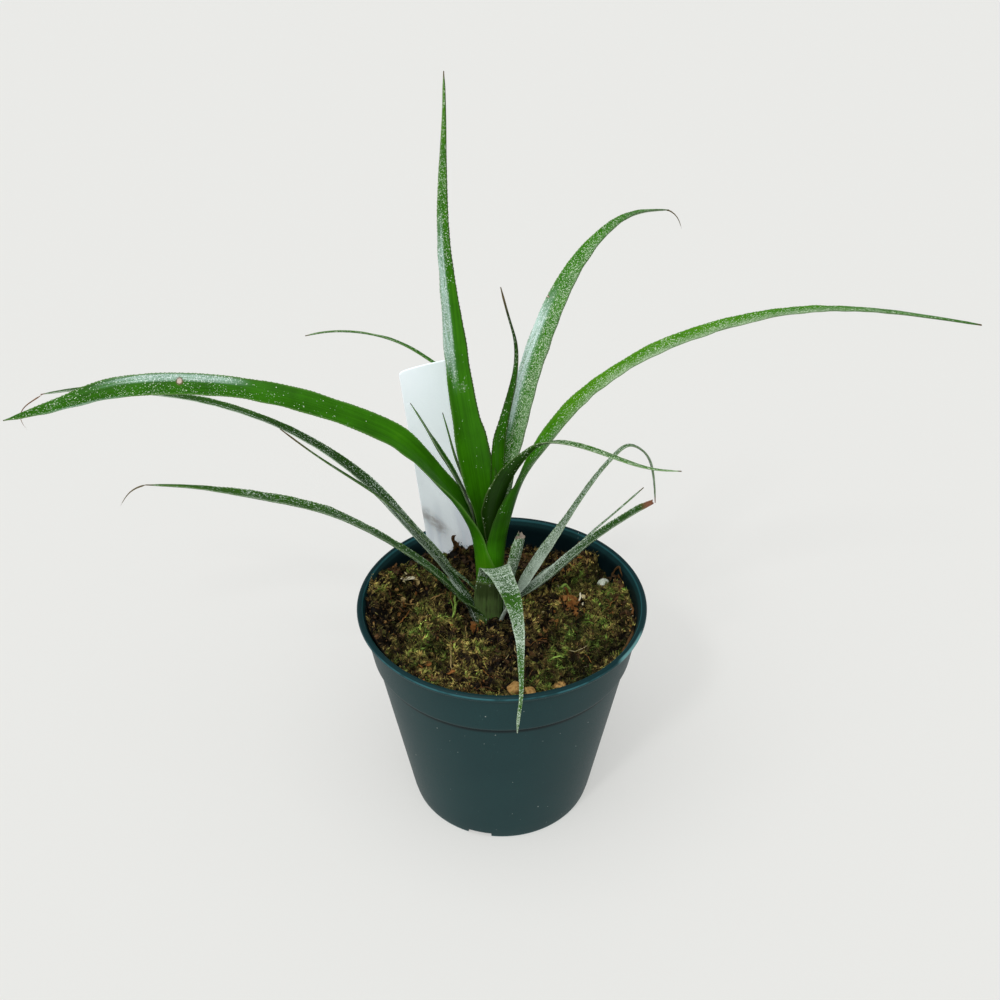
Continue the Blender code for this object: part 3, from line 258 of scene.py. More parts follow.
FINISHES = {
    "leaf_left_long": {
        "dry": 0.6, "lean": 0.3, "wrap_out": 0.5,
        "tones": ((0, 0.9), (0.115, 0.9), (0.17, 0.6), (0.3, 0.54), (1, 0.4)),
        "scurf": ((0, 0, 0), (0.35, 0, 0.02), (0.55, 0.03, 0.3), (0.75, 0.12, 0.5),
            (0.9, 0.14, 0.5), (1, 0.2, 0.5)),
        "bloom": ((140, 178, -0.92, -0.4, 0.95), (176, 200, 0.85, 1.2, 0.6)),
        "scars": ((157.5, -1.5, 2.15),),
        "wrap": ((84, 0, 5), (98, 0, 5), (103, 0, 3.4), (108, 0, 1.5), (114, 0, 0.3),
            (120, 0, 0.3), (128, 0, 1), (134, 0, 2), (140, 0, 2.4), (146, 0, 2.2), (152, 0, 1.5),
            (162, 0, 0.6), (172, 0, 0)),
    },
    "leaf_far_right": {
        "dry": 2.5, "lean": -0.95, "margins": (-0.5, 1), "wrap_out": 0.25,
        "tones": ((0, 0.9), (0.1, 0.9), (0.15, 0.5), (0.24, 0.44), (0.36, 0.76), (0.55, 0.8),
            (0.8, 0.66), (1, 0.5)),
        "scurf": ((0, 0, 0), (0.24, 0, 0.02), (0.3, 0.2, 0.3), (0.36, 0.42, 0.5), (0.5, 0.56, 0.8),
            (0.75, 0.56, 0.8), (0.86, 0.4, 0.6), (1, 0.2, 0.5)),
        "wrap": ((84, 2, 0), (108, 3, 0), (118, 3.4, 0), (125, 3.8, 0), (131, 3.6, 0),
            (137, 2.4, 0), (144, 0.3, 0)),
    },
    "leaf_upright": {
        "tone": 0.54, "fade": 0.18, "dry": 3, "lean": 0.1, "margins": (-1, 1),
        "scurf": ((0, 0, 0), (0.3, 0.006, 0.02), (0.64, 0.012, 0.3), (0.72, 0.36, 0.5),
            (0.85, 0.44, 0.6), (1, 0.38, 0.7)),
        "bloom": ((96, 142, 0.1, 1.1, 1), (90, 108, 0.1, 0.55, 0.8)),
        "spots": ((87, -1.1, 2.7, 0.5),),
        "wrap": ((86, 0, 0), (114, 1, 0), (128, 0.5, 0), (134, 1.8, 1), (140, 3, 1.8),
            (146, 1.6, 1), (152, 0.8, 0.3), (160, 0, 0)),
    },
    "leaf_upper_right": {
        "tone": 0.56, "fade": 0.1, "dry": 1.5, "lean": -0.45, "margins": (-0.7, 1),
        "scurf": ((0, 0, 0), (0.16, 0.2, 0.1), (0.25, 0.5, 0.3), (0.4, 0.58, 0.6), (0.7, 0.5, 0.9),
            (0.85, 0.32, 0.9), (1, 0.26, 0.9)),
        "bloom": ((70, 116, 0.33, 1.1, 1.2),),
        "scars": ((118, 4.2, 0.9),),
        "tail": ((61.5, 81.8, 211.3), (63.1, 83.4, 210.7), (65.9, 83.9, 208.6),
            (67.6, 84.2, 205.9), (68.6, 84.3, 203.3)),
    },
    "leaf_right_curled": {
        "tone": 0.06, "fade": 0.9, "dry": 1.5, "lean": -0.2, "edge": 0.12,
        "scurf": ((0, 0, 0), (0.45, 0, 0), (0.56, 0.25, 0.1), (0.66, 0.5, 0.4), (1, 0.6, 0.8)),
        "wrap": ((88, 1, 0), (108, 2.5, 0), (117, 2.8, 0), (122, 3.7, 0), (128, 5.1, 0),
            (134, 4.2, 0), (140, 2.9, 0), (146, 2.5, 0), (152, 1.4, 0), (156, 0.4, 0), (160, 0, 0)),
    },
    "leaf_thin_back": {
        "tone": 0.42, "fade": -0.6, "dry": 14, "margins": (-0.7, -0.7),
        "scurf": ((0, 0, 0), (0.5, 0.05, 0.1), (0.7, 0.2, 0.3), (1, 0.3, 0.4)),
        "wrap": ((103, 0, 0), (117, 0, 2), (130, 0, 2.4), (140, 0, 1.4), (150, 0, 0.4),
            (160, 0, 0)),
    },
    "leaf_inner_left": {
        "tone": 0.25, "dry": 1, "edge": 0.5,
        "scurf": ((0, 0, 0), (0.5, 0.02, 0.1), (1, 0.1, 0.2)),
    },
    "leaf_inner_sliver": {
        "tone": 0.2, "dry": 1,
        "scurf": ((0, 0, 0), (1, 0.1, 0.1)),
    },
    "leaf_centre_spear": {
        "tone": 0.4, "dry": 0.5,
        "scurf": ((0, 0.1, 0.1), (1, 0.2, 0.3)),
    },
    "leaf_back_left": {
        "tone": 0.4, "dry": 3,
        "scurf": ((0, 0, 0.1), (0.5, 0.1, 0.3), (1, 0.3, 0.5)),
    },
    "leaf_low_left_front": {
        "tone": 0.45, "dry": 3, "edge": 0.4, "lines": 0.25, "wrap_out": 0.9,
        "scurf": ((0, 0.08, 0.1), (0.3, 0.1, 0.2), (0.45, 0.25, 0.3), (0.55, 0.34, 0.4),
            (0.66, 0.2, 0.4), (0.76, 0.3, 0.4), (0.85, 0.12, 0.4), (1, 0.06, 0.3)),
        "tail": ((-110.2, -35.2, 164.1), (-113.6, -35.6, 163.1), (-117, -35.6, 160.5),
            (-120, -35.6, 156.3)),
        "wrap": ((78, 0, 4.5), (85, 0, 4.5), (91, 0, 1.5), (97, 0, 0)),
    },
    "leaf_low_left_back": {
        "tone": 0.34, "dry": 3, "edge": 0.9, "lines": 1.2, "lean": 0.5, "rust": 0.6, "wrap_out": 1.5,
        "scurf": ((0, 0.5, 0.4), (0.15, 0.6, 0.5), (0.26, 0.42, 0.3), (0.42, 0.15, 0.3),
            (0.6, 0.08, 0.2), (1, 0.06, 0.2)),
        "tail": ((-170, 38.1, 156.6), (-174.6, 38.3, 153.7), (-179.3, 38.3, 149.7),
            (-180.6, 38.3, 146.3), (-180.1, 38.3, 143.2), (-179.4, 38.3, 141.5)),
        "wrap": ((78, 0, 6), (86, 0, 5.5), (92, 0, 1.5), (98, 0, 0)),
    },
    "leaf_low_left_thin": {
        "tone": 0.3, "dry": 16, "lines": 0.6,
        "scurf": ((0, 0.3, 0.3), (1, 0.15, 0.2)),
    },
    "leaf_front_drooping": {
        "dry": 0.5, "bands": 0.45, "edge": 0.2, "wrap_out": 0.5,
        # Tones above 1 at the foot reach the old greens' last, dark stop: painted shade on the sheath
        # under the fold
        "tones": ((0, 1.15), (0.2, 1.2), (0.25, 0.45), (1, 0.6)),
        "scurf": ((0, 0.6, 0), (0.19, 0.85, 0), (0.24, 0.95, 0.5), (0.36, 0.9, 0.7),
            (0.43, 0.78, 0.8), (0.46, 0.1, 0.8), (0.49, 0.1, 0.8), (0.53, 0.62, 0.8),
            (0.66, 0.95, 0.8), (0.72, 0.46, 0.5), (0.86, 0.4, 0.5), (0.93, 0.9, 0.8), (1, 1, 0.8)),
        "wrap": ((78, 3.6, 2.4), (92, 3.6, 2.4), (98, 2.2, 1.8), (103, 0.5, 0.5), (106, 0, 0)),
    },
    "leaf_cut_stub": {
        "tone": 0.4, "dry": 0.5, "ragged": 0.8, "rust": -0.7,
        "scurf": ((0, 0.85, 0.8), (0.5, 0.85, 0.8), (1, 0.75, 0.7)),
    },
    "leaf_right_hooked": {
        "tone": 0.45, "dry": 4, "lean": -0.1, "rust": 1,
        "scurf": ((0, 1.25, 1.3), (0.2, 1.15, 1.2), (0.32, 0.98, 1), (0.5, 0.8, 0.8),
            (1, 0.5, 0.6)),
    },
    "leaf_right_cut": {
        "tone": 0.3, "dry": 5.5, "lean": 1, "ragged": 0.4, "edge": 0.5, "rust": 1,
        "scurf": ((0, 0.7, 0.6), (0.3, 0.55, 0.7), (0.5, 0.35, 0.5), (0.7, 0.15, 0.3),
            (1, 0.08, 0.2)),
    },
    "leaf_right_thin": {
        "tone": 0.4, "dry": 3,
        "scurf": ((0, 0.9, 0.9), (0.5, 0.9, 0.9), (1, 0.5, 0.6)),
    },
}
# Finer form of the blades: spacing along and columns across, width, tip, toothed margins,
# clasping sheath, ruffled edges, midrib's furrow, rim, underside and dry thread
BLADE_STATION = 0.45 * MM
BLADE_COLUMNS = 13
ACROSS = np.sin(np.linspace(-math.pi / 2, math.pi / 2, BLADE_COLUMNS))
BLADE_CREASE_ANGLE = 60
WIDTH_WAVER = 0.015
WIDTH_WAVE = 16 * MM
TIP_NARROWING = 0.6
TIP_LENGTH = 5 * MM
MARGIN_THICKNESS = 0.24 * MM
NARROW_SHARE, NARROW_THICKNESS = 0.9, 0.12 * MM
TOOTH_LENGTH = 0.14 * MM
TOOTH_HOOK = 0.2 * MM
TOOTH_STEPS = (2, 5)
TOOTHED_HALF_WIDTH = (0.6 * MM, 2.2 * MM)
TOOTHED_SHARE = (0.16, 0.3)
TORN_LENGTH = 3 * MM
SHEATH_STEP = (0.75, 1.15)
SHEATH_SOFTNESS = 0.5 * MM
RUFFLE = 0.1 * MM
RUFFLE_WAVE = 9 * MM
MIDRIB_DEPTH = 0.12 * MM
MIDRIB_WIDTH = 0.5 * MM
MIDRIB_HALF_WIDTH = (1 * MM, 3 * MM)
RIM_WIDTH = (0.45 * MM, 0.1 * MM)
UNDERSIDE_DEEPER = 0.2
# Share of the waxy bloom and its painted sheen that the underside gets
UNDERSIDE_BLOOM_SHEEN = 0.3
FACES_APART = 40
TAIL_RADIUS = 0.3 * MM
TAIL_STATION = 0.6 * MM
TAIL_SIDES = 6

# Tag, as in the frame, with an earth smear: its middle across and down in mm, and turn
TAG_WIDTH = 20.0 * MM
TAG_LENGTH = 104.0 * MM
TAG_POINT_LENGTH = 14.0 * MM
TAG_POINT_HALF_WIDTH = 2.5 * MM
TAG_THICKNESS = 0.7 * MM
TAG_BOW = 0.7 * MM
TAG_CORNER = 1.5 * MM
TAG_WAVER = 0.05 * MM
TAG_WAVE = 22 * MM
TAG_COLUMNS = 15
TAG_TOP_LEFT = np.array((-35.9, 20.0, 174.8)) * MM
TAG_ACROSS = np.array((0.947, 0.296, 0.118))
TAG_UPWARD = np.array((-0.073, -0.176, 0.981))
SMEAR_MIDDLE = (-6.0, 74.5, 0.0)
SMEAR_TURN = 62

# Moss and litter: how many of each, and their form. The crumbs' size is in mm
MOSS_LEAFLETS = 45000
MOSS_SPRIGS = 2400
SPRIG_LEAFLETS = 12
SPRIG_STEM_RADIUS = 0.13 * MM
SPRIG_STEM_POINTS = 4
SPIRAL_STEP = 2.4
LEAFLET_FACES = np.array(((0, 1, 2), (0, 3, 1), (0, 2, 3), (1, 3, 2)))
LEANING_WAVE = 4.2 * MM
LEANING = 0.9
STANDING = 0.8
SOIL_CRUMBS = 1700
CRUMB_SIZE = 1.3
STRAWS = 110
STRAW_REACH = 46 * MM
BITS_CREASE_ANGLE = 50
WALL_CLEARANCE = 0.15 * MM
LEAFLET_CLEARANCE = 0.08 * MM
STEM_CLEARANCE = 0.3 * MM
CRUMB_CLEARANCE = 1.0 * MM
BIT_CLEARANCE = 0.6 * MM
SHOOTS_LIGHT = 1.45

# Single bits that lie on the moss. Each: points in mm (height above the moss), half width,
# half thickness, tone from dark brown (0) through orange and straw to cream (1)
BITS = (
    (((-41, 8, 1), (-36, 9, 1.6), (-30, 11, 1.2), (-22, 14, 1.4)), 0.24, 0.24, 0.6),
    (((-39, -7, 0.8), (-37, 1, 1.5), (-35, 9, 1.0)), 0.26, 0.26, 0.5),
    (((-20.5, 17, 1.5), (-19.6, 11, 2.2), (-19.5, 6, 1.2)), 0.2, 0.2, 0.4),
    (((-13.7, -2, 1.2), (-13, -12, 1.2)), 0.18, 0.18, 0.65),
    (((-13.6, 6.5, 3.0), (-15, 3, 1.8), (-16.5, 1.0, 1.0)), 0.28, 0.28, 0.1),
    (((-18.8, -14, 1.2), (-18.5, -22, 1.5), (-18, -30, 1.0)), 0.2, 0.2, 0.7),
    (((-39.5, 18.5, 1.4), (-36.5, 20.5, 2.2), (-34, 21, 1.6)), 0.95, 0.35, 0.94),
    (((-19.3, 37, -1.5), (-18.8, 36.6, 3.5), (-19.5, 36.3, 7.0), (-18.3, 36, 9.6)), 0.7, 0.5, 0.24),
    (((-16.0, 37.4, -1.5), (-17.2, 36.6, 2.4), (-18.5, 36.2, 6.0)), 0.45, 0.35, 0.28),
    (((29.9, 9.8, 2.0), (30.4, 12.0, 3.4), (30.7, 13, 5.0)), 0.32, 0.2, 1.0),
    (((31.2, 8.4, 1.4), (31.6, 10.6, 2.4)), 0.3, 0.2, 0.95),
    # Two cream specks by the right wall: painted glints
    (((49.6, 4.0, 1.0), (49.9, 2.6, 2.6)), 0.3, 0.2, 1.0),
    (((49.9, -0.6, 1.0), (49.9, -2.6, 1.8)), 0.3, 0.2, 0.9),
    (((49.6, 5.5, 0.6), (50.0, 1.5, 1.7), (49.8, -1.5, 0.8)), 0.4, 0.2, 0.36),
    (((48.5, -12, 0.4), (46.8, -18, 1.2), (43.0, -26, 1.5)), 0.65, 0.25, 0.28),
    (((46, 25, 1.5), (50, 22.5, 4.4), (51, 19, 3.4)), 0.5, 0.3, 0.3),
    (((33, 43, 2), (36, 44.5, 6), (38.6, 45.2, 4.6), (39.4, 44, 2.2)), 0.7, 0.3, 0.25),
)
# Clusters of crumpled flakes: x, y and spread in mm, count, lowest and highest tone, longest
# half length in mm
FLAKES = (
    (27, 9, 3.6, 20, 0.38, 0.52, 2), (24, 17, 2, 6, 0.8, 0.95, 1), (31, 12, 2, 4, 0.66, 0.95, 0.9),
    (36, 44, 4, 16, 0.08, 0.3, 2), (12, 37, 9, 30, 0.05, 0.3, 2.6),
    (-36.5, 20.5, 2.4, 6, 0.66, 0.86, 1.1), (-43, 24, 3.5, 12, 0.22, 0.46, 1.6),
    (-36, 38, 5, 14, 0.1, 0.35, 2), (45, 14, 3, 7, 0.1, 0.36, 1.6), (47, 21, 3, 6, 0.16, 0.36, 1.6),
    (48, 1, 2.5, 6, 0.15, 0.4, 1.4), (-39, 10, 6, 14, 0.25, 0.7, 1.3), (-10, -5, 3, 8, 0.3, 0.6, 1.2),
    (14, 0, 6, 12, 0.25, 0.62, 1.3), (-26, -30, 8, 10, 0.25, 0.7, 1.2),
    (6, -20, 9, 14, 0.05, 0.3, 1.5), (-14, 34, 8, 20, 0.05, 0.3, 2), (28, 31, 5, 12, 0.2, 0.7, 1.3),
)
# Green shoots of the moss bed, in the same form
SHOOTS = (
    (((-17.6, 13, 0.5), (-18, 6, 3.4), (-17.6, 2.5, 4.2), (-19, -2.5, 1.0)), 0.42, 0.25, 0.95),
    (((-20.4, 8, 0.5), (-19, 3.4, 3.6), (-18.4, 0.6, 3.2)), 0.35, 0.22, 0.9),
    (((-15.4, 9.5, 0.5), (-17, 5, 3.0), (-18.2, 1, 3.0)), 0.3, 0.2, 0.9),
    (((17, -24.5, 1.2), (20, -24, 2.2), (22.6, -22.8, 1.4)), 0.35, 0.2, 1.0),
    (((30, -1.2, 1.2), (32.4, -2.6, 2.2), (34.6, -4.4, 1.2)), 0.35, 0.2, 0.86),
    (((22.6, 16.4, 1.0), (24.6, 17.6, 2.6), (27.4, 15.8, 1.4)), 0.6, 0.3, 1.0),
    (((24, 18.8, 1.0), (25.4, 16.6, 3.0)), 0.5, 0.25, 0.95),
)

# Crumbs and the grain, as in the frame: x, y, height of the middle, size in mm
CHIPS = {
    "bark_chip_front": (4.6, -37.5, 80.6, 2.9),
    "bark_chip_front_flat": (9.9, -39.0, 80.0, 2.45),
    "bark_chip_front_right": (20.4, -36.0, 80.2, 2.2),
    "perlite_grain": (40.2, 23.4, 80.0, 2.3),
}
CHIP_SHAPE = (1.0, 0.8, 0.62)
CHIP_SQUARENESS = 2.7
CHIP_CREASE_ANGLE = 55

# Colours as red, green and blue. In a ramp each stands after the tone that it belongs to
MOSS_COLOURS = (
    (0.0, (0.006, 0.004, 0.002)), (0.16, (0.028, 0.017, 0.007)), (0.32, (0.105, 0.064, 0.022)),
    (0.46, (0.25, 0.188, 0.055)), (0.58, (0.185, 0.168, 0.045)), (0.72, (0.125, 0.140, 0.028)),
    (0.86, (0.085, 0.145, 0.020)), (1.0, (0.19, 0.29, 0.055)),
)
LITTER_COLOURS = (
    (0.0, (0.016, 0.009, 0.004)), (0.2, (0.055, 0.030, 0.013)), (0.34, (0.13, 0.065, 0.022)),
    (0.48, (0.29, 0.110, 0.026)), (0.62, (0.33, 0.21, 0.07)), (0.8, (0.46, 0.39, 0.18)),
    (1.0, (0.75, 0.70, 0.52)),
)
YOUNG_GREENS = (
    (0.0, (0.009, 0.032, 0.002)), (0.3, (0.018, 0.095, 0.001)), (0.55, (0.036, 0.185, 0.002)),
    (0.8, (0.080, 0.26, 0.006)), (1.0, (0.12, 0.30, 0.03)),
)
# Old greens; the last stop is darker again, as painted shade for the drooping leaf's sheath
OLD_GREENS = (
    (0.0, (0.009, 0.028, 0.004)), (0.35, (0.022, 0.080, 0.007)), (0.7, (0.048, 0.150, 0.012)),
    (0.9, (0.085, 0.135, 0.042)), (1.0, (0.034, 0.056, 0.015)),
)
# Leaves: greens, colour of the scales, their size, patchiness, roughness
LEAF_LOOKS = {
    "young": (YOUNG_GREENS, (0.70, 0.86, 0.62), 3.6, 0.5, 0.34),
    "old": (OLD_GREENS, (0.69, 0.81, 0.70), 3.2, 0.6, 0.45),
}
PALE_MARGIN = (0.20, 0.32, 0.10)
# Painted shade along a margin turned from the light
SHADED_MARGIN = (0.035, 0.040, 0.015)
# Waxy bloom's painted sheen, and the scales lit within it: painted highlights
WAX_SHEEN = (0.50, 0.74, 0.64)
SCALE_SHEEN = (0.86, 0.98, 0.97)
# Dry parts, each as plain and as rusty
DARK_DRY = ((0.050, 0.042, 0.014), (0.11, 0.032, 0.015))
LIGHT_DRY = ((0.20, 0.15, 0.07), (0.36, 0.17, 0.10))
BLEACHED = (0.46, 0.38, 0.32)
SCAR_RIM = (0.13, 0.095, 0.045)
SCAR_MIDDLE = (0.62, 0.50, 0.44)
STEM_GREENS = ((0.12, 0.22, 0.05), (0.26, 0.36, 0.12))
# Lumps: material's name, dark and light shade, roughness
LUMP_LOOKS = (
    ("bark", (0.22, 0.115, 0.032), (0.50, 0.30, 0.10), 0.85),
    ("perlite", (0.40, 0.47, 0.34), (0.80, 0.83, 0.73), 0.9),
)
PLASTIC = (0.0085, 0.038, 0.041)
PALE_PLASTIC = (0.0125, 0.050, 0.052)
DARK_PLASTIC = (0.004, 0.020, 0.024)
POT_SPECKS = (0.5, 0.56, 0.52)
POT_SCRATCHES = (0.2, 0.3, 0.3)
# Middle of the painted highlight on the lip's outer face, in mm
LIP_HIGHLIGHT_PLACE = (46.5, -27.5, 90.0)
VINYL = (0.87, 0.95, 1.0)
PALE_VINYL = (0.91, 0.98, 1.0)
# Painted shade from the leaves on the tag's lower part
TAG_FOOT_SHADE = (0.48, 0.53, 0.63)
TAG_EARTH = (0.20, 0.165, 0.13)
TAG_SPECKS = (0.3, 0.27, 0.22)
# Strength of the tag's painted glow
TAG_PAINTED_GLOW = 0.285
FLOOR_REACH = 4.0
FLOOR_COLOUR = (0.46, 0.46, 0.445)
FLOOR_GLOW_COLOUR = (1.0, 1.0, 0.97)
FLOOR_GLOW = 0.37
SURROUNDINGS_COLOUR = (0.97, 0.98, 1.0)
SURROUNDINGS_STRENGTH = 0.34
# Soft suns: the way to the light, its share of the floor's light, and its width in degrees
LIGHTS = (
    ("broad light", (-0.14, -0.40, 0.905), 0.45, 75),
    ("window", (-0.367, -0.591, 0.72), 0.12, 7),
    ("front light", (0.0, -0.616, 0.788), 0.08, 5),
)


class Shape:
    """Closed bodies gathered into one piece, with their per-point values."""

    def __init__(self):
        self.points = []
        self.faces = []
        self.values = {}
        self.count = 0

    def add(self, points, faces, **values):
        """Adds bodies whose faces all wind one way, and turns them to face outwards."""
        if signed_volume(points, faces) < 0:
            faces = [group[:, ::-1] for group in faces]
        self.points.append(points)
        self.faces += [group + self.count for group in faces]
        for key, value in values.items():
            full = np.broadcast_to(value, (len(points),) + np.shape(value)[1:])
            self.values.setdefault(key, []).append(full)
        self.count += len(points)
        return self

    def build(self, name, material, slot, replaces=(), smooth=True, crease=None):
        """Makes the piece with its material, and says what it rides on and replaces; the slot is not
        used.
        """
        mesh = bpy.data.meshes.new(name)
        faces = [face for group in self.faces for face in group.tolist()]
        mesh.from_pydata(np.concatenate(self.points).tolist(), [], faces)
        for key, parts in self.values.items():
            data = np.concatenate(parts).astype(np.float32)
            kind, field = ("FLOAT", "value") if data.ndim == 1 else ("FLOAT_VECTOR", "vector")
            mesh.attributes.new(key, kind, "POINT").data.foreach_set(field, data.ravel())
        mesh.materials.append(material)
        if smooth:
            mesh.shade_smooth()
        if crease is not None:
            mesh.set_sharp_from_angle(angle=math.radians(crease))
        piece = bpy.data.objects.new(name, mesh)
        scene.collection.objects.link(piece)
        if replaces:
            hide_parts(*replaces)
        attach(piece, "root")
        return piece


def signed_volume(points, faces):
    """Sum of a . (b x c) over the triangles of all faces."""
    total = 0.0
    for group in faces:
        corners = points[group]
        for third in range(2, group.shape[1]):
            total += np.sum(corners[:, 0] * np.cross(corners[:, third - 1], corners[:, third]))
    return total


def unit(vectors):
    """Vectors divided by their lengths."""
    return vectors / np.linalg.norm(vectors, axis=-1, keepdims=True)


def full_turn(count):
    """Even angles round a circle."""
    return np.linspace(0.0, 2.0 * math.pi, count, endpoint=False)


def ring(radius, turn, height):
    """Points at a radius and a height on the upright axis, at each angle round it."""
    x = radius * np.cos(turn)
    return np.stack([x, radius * np.sin(turn), np.broadcast_to(height, x.shape)], axis=-1)


def turned(points, angle):
    """Points turned round the upright axis."""
    x, y, z = points.T
    return np.stack([x * math.cos(angle) - y * math.sin(angle),
                     x * math.sin(angle) + y * math.cos(angle), z], axis=1)


def skin(rings):
    """A closed body over rings of points: quads between rings, and a fan over each end."""
    count, around = rings.shape[:2]
    ends = np.stack([rings[0].mean(axis=0), rings[-1].mean(axis=0)])
    points = np.concatenate([rings.reshape(-1, 3), ends])
    here = np.arange(around)
    there = (here + 1) % around
    base = (np.arange(count - 1) * around)[:, None]
    next_base = base + around
    quads = np.stack([base + here, base + there, next_base + there, next_base + here], axis=-1)
    first = np.stack([there, here, np.full(around, count * around)], axis=-1)
    top = (count - 1) * around
    last = np.stack([top + here, top + there, np.full(around, count * around + 1)], axis=-1)
    return points, [quads.reshape(-1, 4), first, last]


def with_ends(values):
    """Values on rings, with each end ring's mean for the middle point of its fan."""
    flat = values.reshape((-1,) + values.shape[2:])
    return np.concatenate([flat, values[:1].mean(axis=1), values[-1:].mean(axis=1)])


def many(bodies, faces):
    """Points and faces of many bodies of one form, from their points as body, point, place."""
    offsets = (bodies.shape[1] * np.arange(len(bodies)))[:, None, None]
    groups = [(group[None] + offsets).reshape(-1, group.shape[1]) for group in faces]
    return bodies.reshape(-1, 3), groups


def ripples(x, y, wavelength, seed, waves=11):
    """Smooth noise about zero: the sum of seeded sine waves near one wavelength."""
    generator = np.random.default_rng(seed)
    angle = generator.uniform(0.0, 2.0 * math.pi, waves)
    phase = generator.uniform(0.0, 2.0 * math.pi, waves)
    length = wavelength * generator.uniform(0.7, 1.4, waves)
    x = np.asarray(x)[..., None]
    y = np.asarray(y)[..., None]
    turn = 2.0 * math.pi * (x * np.cos(angle) + y * np.sin(angle)) / length + phase
    return np.sin(turn).sum(axis=-1) * math.sqrt(2.0 / waves)


def smooth_path(points, spacing):
    """Even points along the natural cubic spline through the rows, with their knot values."""
    chords = np.linalg.norm(np.diff(points, axis=0), axis=1)
    knots = np.concatenate([[0.0], np.cumsum(chords)])
    count = len(points)
    system = np.eye(count)
    right = np.zeros_like(points)
    for i in range(1, count - 1):
        system[i, i - 1:i + 2] = (chords[i - 1], 2 * (chords[i - 1] + chords[i]), chords[i])
        before = (points[i] - points[i - 1]) / chords[i - 1]
        right[i] = 6 * ((points[i + 1] - points[i]) / chords[i] - before)
    bend = np.linalg.solve(system, right)
    dense = np.linspace(0.0, knots[-1], 40 * count)
    span = np.clip(np.searchsorted(knots, dense, side="right") - 1, 0, count - 2)
    ahead = (knots[span + 1] - dense)[:, None]
    behind = (dense - knots[span])[:, None]
    length = chords[span][:, None]
    curve = (bend[span] * ahead ** 3 + bend[span + 1] * behind ** 3) / (6 * length)
    curve += (points[span] / length - bend[span] * length / 6) * ahead
    curve += (points[span + 1] / length - bend[span + 1] * length / 6) * behind
    steps = np.linalg.norm(np.diff(curve, axis=0), axis=1)
    travelled = np.concatenate([[0.0], np.cumsum(steps)])
    stations = max(4, int(round(travelled[-1] / spacing)) + 1)
    wanted = np.linspace(0.0, travelled[-1], stations)
    where = np.interp(wanted, travelled, dense)
    path = np.stack([np.interp(wanted, travelled, column) for column in curve.T], axis=1)
    return path, where, knots, wanted


def along_rows(values, knots, where):
    """Monotone cubic interpolation of one column of the rows: no overshoot between rows."""
    steps = np.diff(knots)
    slopes = np.diff(values) / steps
    tangents = np.zeros(len(values))
    tangents[0] = slopes[0]
    tangents[-1] = slopes[-1]
    for i in range(1, len(values) - 1):
        if slopes[i - 1] * slopes[i] > 0:
            tangents[i] = 2 * slopes[i - 1] * slopes[i] / (slopes[i - 1] + slopes[i])
    span = np.clip(np.searchsorted(knots, where, side="right") - 1, 0, len(steps) - 1)
    step = steps[span]
    t = (where - knots[span]) / step
    start = (1 + 2 * t) * (1 - t) ** 2 * values[span] + t * (1 - t) ** 2 * step * tangents[span]
    end = t * t * (3 - 2 * t) * values[span + 1] + t * t * (t - 1) * step * tangents[span + 1]
    return start + end


def step_between(value, low, high):
    """Smooth rise from 0 at low to 1 at high."""
    t = np.clip((value - low) / (high - low), 0.0, 1.0)
    return t * t * (3 - 2 * t)


def window(value, start, stop, start_softness, stop_softness):
    """Smooth rise about start and fall about stop, each within its softness to both sides."""
    rise = step_between(value, start - start_softness, start + start_softness)
    return rise * (1 - step_between(value, stop - stop_softness, stop + stop_softness))


def tube(path, wide, thick, sides):
    """Rings of an ellipse, wide by thick, carried square to a path, and narrow at both ends."""
    tangent = unit(np.gradient(path, axis=0))
    helper = np.eye(3)[np.argmin(np.abs(tangent).max(axis=0))]
    nearly_upright = 0.93
    if np.abs(tangent[:, 2]).max() < nearly_upright:
        helper = np.array((0.0, 0.0, 1.0))
    side = unit(np.cross(tangent, helper))
    lift = np.cross(side, tangent)
    turn = full_turn(sides)
    share = np.linspace(0.0, 1.0, len(path))
    taper = np.clip(np.sin(math.pi * np.clip(share, 0.02, 0.98)) * 2.2, 0.1, 1.0)
    wide = (np.broadcast_to(wide, share.shape) * taper)[:, None, None]
    thick = (np.broadcast_to(thick, share.shape) * taper)[:, None, None]
    across = wide * np.cos(turn)[None, :, None] * side[:, None, :]
    return path[:, None, :] + across + thick * np.sin(turn)[None, :, None] * lift[:, None, :]


def tooth_marks(stations, generator):
    """1 at the station of each tooth, every few stations, and 0 elsewhere."""
    marks = np.zeros(stations)
    steps = np.cumsum(generator.integers(*TOOTH_STEPS, stations))
    marks[steps[steps < stations - 2]] = 1.0
    return marks


def leaf_spine(heading, rows):
    """The midrib at even stations: place, way along, half width, arc radius and three axes."""
    heading = math.radians(heading)
    outward = np.array((math.cos(heading), math.sin(heading), 0.0))
    sideways = np.array((-math.sin(heading), math.cos(heading), 0.0))
    rows = np.array([(*row, 0, 0)[:6] for row in rows]) * (MM, MM, MM, MM, 1, MM)
    out, height, half, radius, twist, aside = rows.T
    points = np.array((*NECK, 0.0)) + out[:, None] * outward + aside[:, None] * sideways
    points[:, 2] = height
    path, where, knots, along = smooth_path(points, BLADE_STATION)
    half, radius, twist = (along_rows(column, knots, where) for column in (half, radius, twist))
    twist = np.radians(twist)[:, None]
    tangent = unit(np.gradient(path, axis=0))
    side = unit(sideways - (tangent @ sideways)[:, None] * tangent)
    side = np.cos(twist) * side + np.sin(twist) * np.cross(tangent, side)
    return path, along, half, radius, tangent, side, np.cross(tangent, side)


